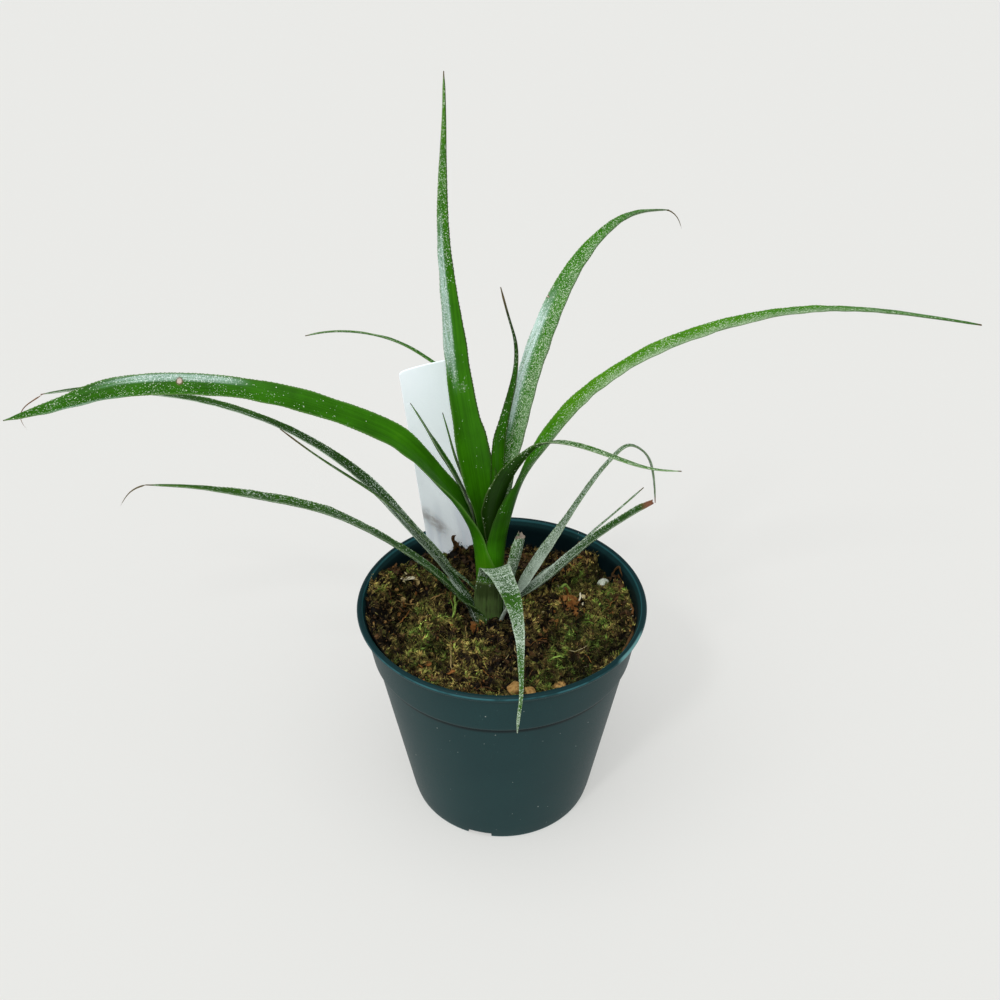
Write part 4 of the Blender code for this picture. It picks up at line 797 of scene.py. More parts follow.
def leaf_rings(spine, thickness, finish, generator, seed):
    """Rings round a thin curved blade, and each point's reach and the outline from the midrib.

    A section is an arc of radius R and half width w, square to the midrib: its point at the
    angle a = w / R is the path plus R ((1 - cos a) up + sin a side). The margins carry hooked
    teeth, and the blade thins from the midrib to them.
    """
    path, along, half, radius, tangent, side, up = spine
    length = along[-1]
    half = half * (1.0 + WIDTH_WAVER * ripples(along, 0 * along, WIDTH_WAVE, seed))
    if not finish["ragged"]:
        half = half * (1.0 - TIP_NARROWING * step_between(along, length - TIP_LENGTH, length))
    grown = step_between(half, *TOOTHED_HALF_WIDTH) * step_between(along / length, *TOOTHED_SHARE)
    teeth = np.stack([tooth_marks(len(path), generator) * grown for margin in range(2)], axis=1)
    wrap = np.array(finish["wrap"], dtype=float)
    climbed = np.maximum.accumulate(path[:, 2]) / MM
    more = [np.interp(climbed, wrap[:, 0], wrap[:, k])[:, None] * MM for k in (1, 2)]
    extra = np.where(ACROSS < 0, *more)
    outline = half[:, None] + extra
    reach = outline * ACROSS
    outside = finish["wrap_out"] * MM * step_between(np.abs(reach) / half[:, None], *SHEATH_STEP)
    outside = outside * step_between(extra, 0, SHEATH_SOFTNESS)
    reach[:, (0, -1)] += (-TOOTH_LENGTH, TOOTH_LENGTH) * teeth
    hook = np.zeros(reach.shape)
    hook[:, (0, -1)] = TOOTH_HOOK * teeth
    if finish["ragged"]:
        torn = generator.uniform(-1.0, 1.0, BLADE_COLUMNS) * finish["ragged"] * MM
        hook += torn * step_between(along, length - TORN_LENGTH, length)[:, None]
    angle = reach / radius[:, None]
    sine = np.sin(angle)[:, :, None]
    cosine = np.cos(angle)[:, :, None]
    side = side[:, None, :]
    up = up[:, None, :]
    middle = path[:, None, :] + radius[:, None, None] * ((1 - cosine) * up + sine * side)
    normal = cosine * up - sine * side
    middle = middle + hook[:, :, None] * tangent[:, None, :]
    waves = ripples(along[:, None], reach * 3, RUFFLE_WAVE, seed + 1)
    ruffle = RUFFLE * np.abs(ACROSS) ** 3 * waves * grown[:, None]
    middle = middle + (ruffle - outside)[:, :, None] * normal
    full = np.minimum(thickness * MM, NARROW_SHARE * half + NARROW_THICKNESS)[:, None]
    margin = np.minimum(MARGIN_THICKNESS, full)
    thick = margin + (full - margin) * (1 - ACROSS ** 2)
    groove = MIDRIB_DEPTH * np.exp(-(reach / MIDRIB_WIDTH) ** 2)
    groove = groove * step_between(half, *MIDRIB_HALF_WIDTH)[:, None]
    upper = middle + normal * (thick / 2 - groove)[:, :, None]
    lower = middle - normal * (thick / 2)[:, :, None]
    return np.concatenate([upper, lower[:, ::-1]], axis=1), reach, outline


def leaf_values(along, reach, outline, finish, seed):
    """What the leaf's material reads at each point, first on the upper face, then below."""
    length = along[-1]
    along = along[:, None]
    share = along / length
    cover = np.array(finish["scurf"])
    lean = 1.0 + finish["lean"] * ACROSS
    frayed = finish["edge"] * np.abs(ACROSS) ** 6 * step_between(share, 0.1, 0.3)
    top_cover = np.interp(share, cover[:, 0], cover[:, 1]) * lean + frayed
    under_cover = np.interp(share, cover[:, 0], cover[:, 2]) + frayed
    bloom = np.zeros(reach.shape)
    for start, stop, low, high, strength in finish["bloom"]:
        lengthwise = window(along / MM, start, stop, 6, 9)
        bloom = np.maximum(bloom, strength * lengthwise * window(ACROSS, low, high, 0.12, 0.12))
    for place, aside, size, strength in finish["spots"]:
        far = np.hypot(along / MM - place, 1.6 * (reach / MM - aside))
        top_cover = np.maximum(top_cover, strength * (1 - step_between(far, 0.6 * size, size)))
    withered = finish["dry"] * MM
    dry = step_between(along, length - withered, length - 0.3 * withered)
    dry = np.repeat(dry, BLADE_COLUMNS, 1)
    scar = np.zeros(reach.shape)
    for place, aside, size in finish["scars"]:
        far = np.hypot(1.3 * (along / MM - place), reach / MM - aside)
        scar = np.maximum(scar, 1 - step_between(far, 0.2 * size, size))
    rim = step_between(np.abs(reach), *(outline - width for width in RIM_WIDTH))
    rim = rim * np.where(ACROSS < 0, *finish["margins"])
    if finish["tones"]:
        tone = np.interp(share, *np.array(finish["tones"]).T)
    else:
        tone = finish["tone"] + finish["fade"] * (share - 0.4)
    tone = np.repeat(tone, BLADE_COLUMNS, 1)
    under_tone = tone - UNDERSIDE_DEEPER * (1 - step_between(share, 0.05, 0.4))
    flat = [reach / MM, np.broadcast_to(along / MM, reach.shape), np.full(reach.shape, float(seed))]
    flat = np.stack(flat, axis=-1)
    faces = {
        "blade": (flat, flat + (0, 0, FACES_APART)), "scurf": (top_cover, under_cover),
        "bloom": (bloom, UNDERSIDE_BLOOM_SHEEN * bloom), "dry": (dry, dry), "rim": (rim, rim),
        "tone": (tone, under_tone), "scar": (scar, 0 * scar),
    }
    return {key: with_ends(np.concatenate([top, under[:, ::-1]], axis=1))
            for key, (top, under) in faces.items()}


def add_tail(shape, points, seed, pattern):
    """A dry thread: a round tube along a smooth path that thins to its end."""
    path, _, _, along = smooth_path(points, TAIL_STATION)
    thin = TAIL_RADIUS * (1.0 - 0.75 * along / along[-1])
    ring_along = np.repeat(along[:, None] / MM, TAIL_SIDES, 1)
    blade = with_ends(np.stack([ring_along * 0, ring_along, ring_along * 0 + seed], axis=-1))
    shape.add(*skin(tube(path, thin, thin, TAIL_SIDES)), blade=blade, scurf=0.0, bloom=0.0,
              dry=1.0, rim=0.0, tone=0.5, scar=0.0, pattern=pattern)


def make_leaves(materials):
    """Every leaf in LEAVES as one blade, with its finish."""
    for name, (heading, thickness, colour, rows) in LEAVES.items():
        finish = {**PLAIN_FINISH, **FINISHES[name]}
        generator = np.random.default_rng(len(name) * 101 + heading)
        spine = leaf_spine(heading, rows)
        rings, reach, outline = leaf_rings(spine, thickness, finish, generator, heading)
        values = leaf_values(spine[1], reach, outline, finish, heading)
        pattern = np.array([[finish["lines"], finish["bands"], finish["rust"]]], dtype=float)
        shape = Shape().add(*skin(rings), **values, pattern=pattern)
        if finish["tail"]:
            add_tail(shape, np.array(finish["tail"]) * MM, heading, pattern)
        shape.build(name + "_blade", materials[colour], colour + "_leaf", replaces=(name,),
                    crease=BLADE_CREASE_ANGLE)


def arc(middle, reach, start, stop, count):
    """Points of an elliptic arc, from start to stop in degrees."""
    return [(middle[0] + reach[0] * math.cos(a), middle[1] + reach[1] * math.sin(a))
            for a in np.radians(np.linspace(start, stop, count))]


def slant(start, stop, shares):
    """Points on the straight line from start to stop, at shares of its length."""
    return [(start[0] + s * (stop[0] - start[0]), start[1] + s * (stop[1] - start[1]))
            for s in shares]


def pot_profile():
    """Outline of the turned pot: radius and height from the axis below, out and in again."""
    lip_round = LIP_HEIGHT / 2
    lip_flat = lip_round * LIP_FLATNESS
    lip = arc((LIP_RADIUS - lip_flat, LIP_BOTTOM + lip_round), (lip_flat, lip_round), -80, 170, 15)
    foot = arc((POT_BASE_RADIUS - BASE_ROUNDING, BASE_ROUNDING), (BASE_ROUNDING, BASE_ROUNDING),
               -90, -8, 6)
    wall = slant((POT_BASE_RADIUS, 0), (POT_STEP_RADIUS, POT_STEP_HEIGHT),
                 np.linspace(0.06, 0.985, 20))
    step = [
        (POT_STEP_RADIUS - 0.1 * MM, POT_STEP_HEIGHT - 0.45 * MM),
        (POT_STEP_RADIUS + 0.1 * MM, POT_STEP_HEIGHT - 0.2 * MM),
        (BAND_BOTTOM_RADIUS - 0.25 * MM, POT_STEP_HEIGHT - 0.1 * MM),
        (BAND_BOTTOM_RADIUS, POT_STEP_HEIGHT + 0.2 * MM),
    ]
    band = slant((BAND_BOTTOM_RADIUS, POT_STEP_HEIGHT), (BAND_TOP_RADIUS, LIP_BOTTOM),
                 np.linspace(0.06, 0.97, 9))
    under_lip = [(BAND_TOP_RADIUS + 0.2 * MM, LIP_BOTTOM - 0.05 * MM)]
    inside = [(radius - POT_WALL, height) for radius, height in reversed(band)]
    inside += [(POT_STEP_RADIUS - POT_WALL, POT_STEP_HEIGHT - POT_WALL)]
    inside += [(radius - POT_WALL, height) for radius, height in reversed(wall[1:-1])]
    inner_foot = POT_BASE_RADIUS - 2.0 * POT_WALL
    floor = [(inner_foot + BASE_ROUNDING, POT_FLOOR + BASE_ROUNDING), (inner_foot, POT_FLOOR)]
    floor += [(FLOOR_DISC_RADIUS, POT_FLOOR)]
    start = [(FLOOR_DISC_RADIUS, 0.0)]
    return np.array(start + foot + wall + step + band + under_lip + lip + inside + floor)


def make_pot(material):
    """The profile turned about the axis, a little out of round, with its drain notches cut."""
    profile = pot_profile()
    turn = full_turn(POT_SIDES)
    height = profile[:, 1:]
    share = height / POT_HEIGHT
    waver = 0.6 * np.sin(2 * turn + 0.6) + 0.4 * np.sin(5 * turn) * (1 - share)
    radius = profile[:, :1] + POT_WAVER * np.clip(share, 0, 1) * waver
    shape = Shape().add(*skin(ring(radius, turn, height)))
    pot = shape.build("pot_shell", material, "pot_plastic", replaces=("pot",))
    for number in range(DRAIN_NOTCH_COUNT):
        angle = DRAIN_NOTCH_FIRST_ANGLE + number * 360.0 / DRAIN_NOTCH_COUNT
        cut_notch(pot, math.radians(angle))
    pot.data.shade_smooth()
    pot.data.set_sharp_from_angle(angle=math.radians(POT_CREASE_ANGLE))


def cut_notch(pot, angle):
    """Cuts a block, as wide as a drain slot, from the pot's bottom corner."""
    ends = (-1, 1)
    corners = np.array([(x, y, z) for x in ends for y in ends for z in ends], dtype=float)
    corners *= (DRAIN_NOTCH_DEPTH, DRAIN_NOTCH_WIDTH / 2, DRAIN_NOTCH_HEIGHT)
    corners[:, 0] += POT_BASE_RADIUS
    faces = [(0, 1, 3, 2), (4, 6, 7, 5), (0, 4, 5, 1), (2, 3, 7, 6), (0, 2, 6, 4), (1, 5, 7, 3)]
    mesh = bpy.data.meshes.new("notch")
    mesh.from_pydata(turned(corners, angle).tolist(), [], faces)
    block = bpy.data.objects.new("notch", mesh)
    scene.collection.objects.link(block)
    cut = pot.modifiers.new("notch", "BOOLEAN")
    cut.operation = "DIFFERENCE"
    cut.object = block
    shown = bpy.context.evaluated_depsgraph_get()
    result = bpy.data.meshes.new_from_object(pot.evaluated_get(shown))
    pot.modifiers.clear()
    pot.data = result
    bpy.data.objects.remove(block, do_unlink=True)


def soil_height(x, y):
    """The frame's soil: level plus mounds plus three sine waves, with cushions and banks."""
    height = SOIL_LEVEL + 0.0 * x
    for mound_x, mound_y, rise, spread in SOIL_MOUNDS + HEAPS:
        distance = (x - mound_x * MM) ** 2 + (y - mound_y * MM) ** 2
        height = height + rise * MM * np.exp(-distance / (spread * MM) ** 2)
    lumps = np.sin(640 * x + 1.3) * np.sin(710 * y) + np.sin(1130 * x - 900 * y + 0.7)
    height = height + SOIL_LUMP * (lumps + 0.6 * np.sin(1500 * y + 480 * x))
    large, small, tuft = clumps(x, y)
    calm = np.ones(np.shape(x))
    for chip_x, chip_y, _, _ in CHIPS.values():
        distance = (x / MM - chip_x) ** 2 + (y / MM - chip_y) ** 2
        calm = calm * (1 - np.exp(-distance / CALM_ROUND_CHIPS ** 2))
    relief = LARGE_CUSHION * (large - 0.5) + SMALL_CUSHION * (small - 0.65)
    relief = relief + TUFT_RISE * (tuft - 0.5)
    far = np.maximum(np.hypot(x, y), 1e-6)
    bank = np.zeros(np.shape(x))
    for direction, low, high, rise, start in BANKS:
        angle = math.radians(direction)
        towards = (x * math.cos(angle) + y * math.sin(angle)) / far
        climb = step_between(towards, low, high) * step_between(far, start * MM, SOIL_TOP_RADIUS)
        bank = np.maximum(bank, rise * MM * climb)
    return height + calm * (relief + bank)


def to_wall(x, y, sink):
    """Points of the soil's top, sunk a little, with the outermost moved out to the wall."""
    height = soil_height(x, y) - sink
    share = np.hypot(x, y) / SOIL_TOP_RADIUS
    room = wall_radius(height) - WALL_CLEARANCE - SOIL_TOP_RADIUS
    swell = 1 + room / SOIL_TOP_RADIUS * share ** 8
    return np.stack([x * swell, y * swell, height], axis=-1)


def inside_pot(points, gap):
    """Points drawn in, where they lie nearer to the wall than the gap."""
    far = np.maximum(np.hypot(points[..., 0], points[..., 1]), 1e-6)
    points[..., :2] *= np.minimum(1.0, (wall_radius(points[..., 2]) - gap) / far)[..., None]
    return points


def clumps(x, y):
    """Hollows (0) and tops (1) of large and small cushions and of tufts, from sums of waves."""
    large = step_between(ripples(x, y, LARGE_WAVE, 5), -1.2, 0.8)
    small = np.minimum(1.2 * np.abs(ripples(x, y, SMALL_WAVE, 6)), 1.0)
    tuft = step_between(ripples(x, y, TUFT_WAVE, 24), -1.0, 1.1)
    return large, small, tuft


def wall_radius(height):
    """Radius of the pot's inside at a height in its band."""
    share = (height - POT_STEP_HEIGHT) / (LIP_BOTTOM - POT_STEP_HEIGHT)
    return BAND_BOTTOM_RADIUS - POT_WALL + share * (BAND_TOP_RADIUS - BAND_BOTTOM_RADIUS)


def soil_look(x, y):
    """Tone and lightness of the soil's top: patches weighted by exp(-d^2 / s^2), and clumps, whose
    hollows get painted shade.
    """
    plain_weight, plain_tone, plain_light = PLAIN_PATCH
    weight = np.full(np.shape(x), plain_weight)
    tone = plain_tone * weight
    light = plain_light * weight
    for patch_x, patch_y, spread, patch_tone, patch_light in PATCHES:
        near = np.exp(-((x / MM - patch_x) ** 2 + (y / MM - patch_y) ** 2) / spread ** 2)
        weight = weight + near
        tone = tone + near * patch_tone
        light = light + near * patch_light
    large, small, tuft = clumps(x, y)
    fine, finer, broad = (strength * ripples(x, y, wave * MM, seed)
                          for strength, wave, seed in TONE_WAVES)
    tone = tone / weight + fine + finer - 0.16 * (1 - small) - 0.08 * (1 - tuft) + broad
    # Painted shade: darker in the hollows of the cushions and tufts
    light = light / weight * (0.36 + 0.82 * large) * (0.3 + 0.95 * small) * (0.3 + 1.25 * tuft)
    return np.clip(tone, 0.02, 1.0), np.clip(light, 0.08, 2.2)


def make_soil(material):
    """A turned body with a rough top: rings up the wall, then in over the soil's surface."""
    turn = full_turn(SOIL_SIDES)
    foot = POT_FLOOR + 0.3 * MM
    rims = ((SOIL_FOOT_RADIUS, foot), (SOIL_FOOT_RADIUS + 1.4 * MM, foot + 2.4 * MM),
            (POT_STEP_RADIUS - 2.0 * MM, POT_STEP_HEIGHT - 1.6 * MM),
            (POT_STEP_RADIUS - 1.3 * MM, POT_STEP_HEIGHT + 1.1 * MM))
    low = np.stack([ring(radius, turn, height) for radius, height in rims])
    share = np.linspace(1.0, SOIL_MIDDLE_SHARE, SOIL_RINGS)[:, None] ** 0.9
    reach = SOIL_TOP_RADIUS * share
    top = to_wall(reach * np.cos(turn), reach * np.sin(turn), SOIL_SINK)
    rings = np.concatenate([low, top])
    tone, light = soil_look(rings[..., 0], rings[..., 1])
    # The bed under the moss gets half the tone and lightness: painted shade in the gaps between the
    # leaflets
    shape = Shape().add(*skin(rings), tone=with_ends(0.5 * tone), light=with_ends(0.5 * light))
    shape.build("soil_bed", material, "soil_moss", replaces=("soil_and_moss",))


def scattered(generator, count, reach=SOIL_TOP_RADIUS, bias=None):
    """Random places on the soil, clear of neck and crumbs, thinned by a bias from 0 to 1."""
    spare = 4 * count
    far = reach * np.sqrt(generator.uniform(0.0, 1.0, spare))
    turn = generator.uniform(0.0, 2.0 * math.pi, spare)
    x = far * np.cos(turn)
    y = far * np.sin(turn)
    keep = np.hypot(x - NECK[0], y - NECK[1]) > NECK_RADIUS
    for chip_x, chip_y, _, size in CHIPS.values():
        keep &= np.hypot(x - chip_x * MM, y - chip_y * MM) > 0.8 * size * MM
    if bias is not None:
        keep &= generator.uniform(0.0, 1.0, spare) < bias(x, y)
    return x[keep][:count], y[keep][:count]


def leaflets(start, direction, length, width, generator):
    """Keeled leaflets of four points and four faces: foot, tip and two sides lifted a little."""
    random = unit(generator.normal(size=direction.shape))
    side = unit(np.cross(direction, random))
    lift = np.cross(direction, side)
    length = length[:, None]
    width = width[:, None]
    tip = start + length * direction
    middle = start + 0.42 * length * direction + 0.35 * width * lift
    points = np.stack([start, tip, middle + width * side, middle - width * side], axis=1)
    points, faces = many(points, [LEAFLET_FACES])
    return inside_pot(points, LEAFLET_CLEARANCE), faces


def leaning(x, y, generator, spread):
    """Directions that stand up from the soil, lean together in tufts and differ a little."""
    lean = [LEANING * ripples(x, y, LEANING_WAVE, seed) + spread * generator.normal(size=x.shape)
            for seed in (31, 32)]
    return unit(np.stack([*lean, np.full(x.shape, STANDING)], axis=-1))


def moss_cover(x, y):
    """How mossy the soil is: full where it is olive or green, thinner where it is brown."""
    tone, _ = soil_look(x, y)
    return 0.35 + 0.65 * step_between(tone, 0.25, 0.55)


def make_moss_leaflets(material):
    """Single leaflets that stand all over the moss, darker and lighter at random."""
    generator = np.random.default_rng(11)
    x, y = scattered(generator, MOSS_LEAFLETS, bias=moss_cover)
    count = len(x)
    tone, light = soil_look(x, y)
    tone = np.clip(tone + 0.1 * generator.normal(size=count), 0.02, 1.0)
    light = light * (0.25 + 2.3 * generator.beta(1.1, 2.4, count))
    start = to_wall(x, y, 0.45 * MM)
    start[:, 2] += generator.uniform(-0.2, 0.35, count) * MM
    direction = leaning(x, y, generator, 0.55)
    length = generator.uniform(0.9, 2.6, count) * MM
    width = length * generator.uniform(0.11, 0.21, count)
    body, faces = leaflets(start, direction, length, width, generator)
    shape = Shape().add(body, faces, tone=np.repeat(tone, 4), light=np.repeat(light, 4))
    shape.build("moss_leaflets", material, "soil_moss", smooth=False)


def make_moss_sprigs(material):
    """Feathery shoots: a bent stem with leaflets set round it in a spiral."""
    generator = np.random.default_rng(12)
    x, y = scattered(generator, MOSS_SPRIGS, bias=moss_cover)
    count = len(x)
    tone, light = soil_look(x, y)
    tone = np.clip(tone + 0.08 * generator.normal(size=count), 0.05, 1.0)
    light = light * (0.35 + 2.2 * generator.beta(1.2, 2.2, count))
    start = to_wall(x, y, 0.3 * MM)
    first = leaning(x, y, generator, 0.45)
    flat = generator.normal(size=(count, 3)) * (1, 1, 0.12)
    length = generator.uniform(2.2, 5.4, count) * MM
    share = np.linspace(0.0, 1.0, SPRIG_STEM_POINTS)
    bend = (0.75 * unit(flat) - 0.35 * first)[:, None]
    course = share[:, None] * first[:, None] + share[:, None] ** 2 * bend
    stems = inside_pot(start[:, None] + length[:, None, None] * course, STEM_CLEARANCE)
    turn = np.radians((0, 120, 240))[:, None]
    side = unit(np.cross(first, unit(generator.normal(size=first.shape))))
    lift = np.cross(first, side)
    thin = (SPRIG_STEM_RADIUS * (1.0 - 0.7 * share))[None, :, None, None]
    around = np.cos(turn) * side[:, None, None] + np.sin(turn) * lift[:, None, None]
    rings = stems[:, :, None] + thin * around
    ends = np.stack([rings[:, 0].mean(axis=1), rings[:, -1].mean(axis=1)], axis=1)
    bodies = np.concatenate([rings.reshape(count, -1, 3), ends], axis=1)
    size = bodies.shape[1]
    _, template_faces = skin(rings[0])
    shape = Shape().add(*many(bodies, template_faces), tone=np.repeat(0.7 * tone, size),
                        light=np.repeat(0.8 * light, size))

    places = np.linspace(0.12, 1.0, SPRIG_LEAFLETS)
    foot = [[np.interp(places, share, column) for column in stem.T] for stem in stems]
    foot = np.array(foot).transpose(0, 2, 1)
    heading = unit(np.gradient(foot, axis=1))
    spiral = (SPIRAL_STEP * np.arange(SPRIG_LEAFLETS))[None, :, None]
    around = np.cos(spiral) * side[:, None] + np.sin(spiral) * lift[:, None]
    direction = unit(0.6 * heading + 0.8 * around).reshape(-1, 3)
    reach = generator.uniform(0.55, 1.15, (count, SPRIG_LEAFLETS)) * (1.15 - 0.6 * places) * MM
    reach = reach.ravel()
    body, faces = leaflets(foot.reshape(-1, 3), direction, reach, 0.2 * reach, generator)
    leaf_tone = np.repeat(tone, SPRIG_LEAFLETS) + np.tile(0.12 * places, count)
    leaf_light = np.repeat(light, SPRIG_LEAFLETS) * np.tile(0.75 + 0.5 * places, count)
    shape.add(body, faces, tone=np.repeat(np.clip(leaf_tone, 0, 1), 4),
              light=np.repeat(leaf_light, 4))
    shape.build("moss_sprigs", material, "soil_moss", smooth=False)


def ball(rings, around):
    """Points of a unit sphere on rings from pole to pole, and the faces over them."""
    tilt = np.linspace(0.0, math.pi, rings + 2)[1:-1, None]
    body, faces = skin(ring(np.sin(tilt), full_turn(around), np.cos(tilt)))
    body[-2] = (0.0, 0.0, 1.0)
    body[-1] = (0.0, 0.0, -1.0)
    return body, faces


def make_crumbs(material):
    """Soil crumbs: small balls with each point drawn in or out at random."""
    generator = np.random.default_rng(13)
    x, y = scattered(generator, SOIL_CRUMBS, bias=lambda u, v: 1.3 - moss_cover(u, v))
    count = len(x)
    template, faces = ball(2, 5)
    size = generator.uniform(0.25, 0.8, count) ** 1.5 * CRUMB_SIZE * MM
    stretch = generator.uniform(0.5, 1.1, (count, 1, 3))
    rough = generator.uniform(0.75, 1.2, (count, len(template), 1))
    middle = inside_pot(to_wall(x, y, -0.1 * MM), CRUMB_CLEARANCE)
    bodies = middle[:, None] + size[:, None, None] * stretch * rough * template[None]
    tone = generator.beta(1.0, 3.2, count)
    shape = Shape().add(*many(bodies, faces), tone=np.repeat(tone, len(template)))
    shape.build("soil_crumbs", material, "bark", smooth=False)


def laid(points, seed, crumple=0.12 * MM):
    """Control points on the soil, given as x, y and height above it in mm, as a smooth path."""
    points = np.array(points, dtype=float) * MM
    points[:, 2] += soil_height(points[:, 0], points[:, 1])
    points = inside_pot(points, BIT_CLEARANCE)
    path, _, _, along = smooth_path(points, 0.5 * MM)
    waver = [ripples(along, along * 0, 3 * MM, seed + axis) for axis in range(3)]
    return path + crumple * np.stack(waver, axis=-1)


def bowed(place, turn, length, bow, heights):
    """Three control points of a bit that lies along a heading, its middle pushed aside."""
    ahead = np.array((math.cos(turn), math.sin(turn)))
    beside = np.array((-ahead[1], ahead[0]))
    flat = np.stack([place - length * ahead, place + bow * beside, place + length * ahead])
    return np.column_stack([flat, heights])


def add_strip(shape, path, wide, thick, tone, sides, light=1.0):
    """One bit as a flattened tube along a path, with its tone and lightness."""
    shape.add(*skin(tube(path, wide, thick, sides)), tone=tone, light=light)


def add_flakes(shape, generator, x, y, spread, count, tone_low, tone_high, longest):
    """Crumpled flakes: short bowed strips at random headings round one place."""
    for number in range(count):
        place = np.array((x, y)) + spread * 0.6 * generator.normal(size=2)
        turn = generator.uniform(0.0, 2.0 * math.pi)
        length = generator.uniform(0.4, 1.0) * longest
        heights = generator.uniform(0.4, 1.6, 3) + (0, 0.5, 0)
        bow = generator.uniform(-0.6, 0.6) * length
        points = bowed(place, turn, length, bow, heights)
        path = laid(points, generator.integers(10000), 0.35 * MM)
        crinkle = 1 + 0.35 * ripples(path[:, 0], path[:, 1], 2 * MM, number)
        wide = generator.uniform(0.3, 0.9) * MM * crinkle
        thick = generator.uniform(0.1, 0.22) * MM
        add_strip(shape, path, wide, thick, generator.uniform(tone_low, tone_high), 8)


def make_litter(litter, moss):
    """Straws strewn at random, and the single bits that show on the moss."""
    generator = np.random.default_rng(14)
    straws = Shape()
    places = np.stack(scattered(generator, STRAWS, reach=STRAW_REACH), axis=1) / MM
    for number, place in enumerate(places):
        turn = generator.uniform(0.0, 2.0 * math.pi)
        length = generator.uniform(1.2, 4.5)
        bow = generator.uniform(-0.8, 0.8)
        heights = [generator.uniform(low, high) for low, high in ((-0.1, 1), (0.5, 1.4), (-0.1, 1))]
        radius = generator.uniform(0.07, 0.16) * MM
        tone = generator.beta(1.4, 2.2)
        path = laid(bowed(place, turn, length, bow, heights), number)
        add_strip(straws, path, radius, radius, tone, 5)
    green = Shape()
    for shape, bits, seed, light in ((straws, BITS, 500, 1.0), (green, SHOOTS, 600, SHOOTS_LIGHT)):
        for number, (points, wide, thick, tone) in enumerate(bits):
            path = laid(points, seed + number)
            add_strip(shape, path, wide * MM, thick * MM, tone, 8, light)
    for flakes in FLAKES:
        add_flakes(straws, generator, *flakes)
    straws.build("litter", litter, "bark", crease=BITS_CREASE_ANGLE)
    green.build("green_shoots", moss, "soil_moss", crease=BITS_CREASE_ANGLE)


def make_tag(material):
    """The slat: a bowed, round-cornered cross-section carried down to the narrowing foot."""
    facing = unit(np.cross(TAG_UPWARD, TAG_ACROSS))
    long = TAG_LENGTH / MM
    down = [[0.0, 0.25, 0.7, 1.5], np.linspace(3, long - 14, 40), np.linspace(long - 12, long, 8)]
    down = np.concatenate(down) * MM
    full = TAG_WIDTH / 2
    half = np.full(len(down), full)
    top = down < TAG_CORNER
    half[top] -= TAG_CORNER - np.sqrt(TAG_CORNER ** 2 - (TAG_CORNER - down[top]) ** 2)
    pointed = down > TAG_LENGTH - TAG_POINT_LENGTH
    share = (down[pointed] - (TAG_LENGTH - TAG_POINT_LENGTH)) / TAG_POINT_LENGTH
    half[pointed] += share * (TAG_POINT_HALF_WIDTH - full)
    across = np.sin(np.linspace(-math.pi / 2, math.pi / 2, TAG_COLUMNS))
    place = half[:, None] * across
    bow = TAG_BOW * (1.0 - (place / full) ** 2)
    bow = bow + TAG_WAVER * ripples(place, down[:, None], TAG_WAVE, 41)
    middle = TAG_TOP_LEFT + TAG_ACROSS * full
    centre = middle + place[..., None] * TAG_ACROSS - down[:, None, None] * TAG_UPWARD
    thick = TAG_THICKNESS / 2 * (1.0 - 0.4 * across ** 8)
    front = centre + facing * (bow + thick)[..., None]
    back = centre + facing * (bow - thick)[..., None]
    rings = np.concatenate([front, back[:, ::-1]], axis=1)
    sheet = [place / MM, np.broadcast_to(down[:, None] / MM, place.shape), place * 0]
    sheet = np.stack(sheet, axis=-1)
    sheet = with_ends(np.concatenate([sheet, sheet[:, ::-1] + (0, 0, 30)], axis=1))
    shape = Shape().add(*skin(rings), sheet=sheet)
    shape.build("plant_tag_slat", material, "tag_vinyl", replaces=("plant_tag",),
                crease=BITS_CREASE_ANGLE)


def make_chips(bark, perlite):
    """Crumbs: a squarish, flattened ball with seeded ripples over it, each turned its own way."""
    for number, (name, (x, y, z, size)) in enumerate(CHIPS.items()):
        points, faces = ball(18, 28)
        px, py, pz = points.T
        bumps = 0.05 * ripples(px + 0.7 * pz, py - 0.5 * pz, 1.3, 51 + number)
        bumps += 0.02 * ripples(px - pz, py + pz, 0.45, 61 + number)
        corners = 1.0 / (np.abs(points) ** CHIP_SQUARENESS).sum(axis=1) ** (1 / CHIP_SQUARENESS)
        body = points * ((1.0 + bumps) * corners)[:, None] * np.array(CHIP_SHAPE) * size * MM
        shape = Shape().add(turned(body, 0.7 + 1.1 * number) + np.array((x, y, z)) * MM, faces)
        grain = name == "perlite_grain"
        shape.build(name + "_lump", perlite if grain else bark, "perlite" if grain else "bark",
                    replaces=(name,), crease=CHIP_CREASE_ANGLE)


def feed(socket, value):
    """Links a field to a socket, or sets the socket to a plain value or colour."""
    if isinstance(value, Field):
        socket.id_data.links.new(value.socket, socket)
    elif socket.type == "RGBA":
        socket.default_value = (*value, 1.0)
    else:
        socket.default_value = value


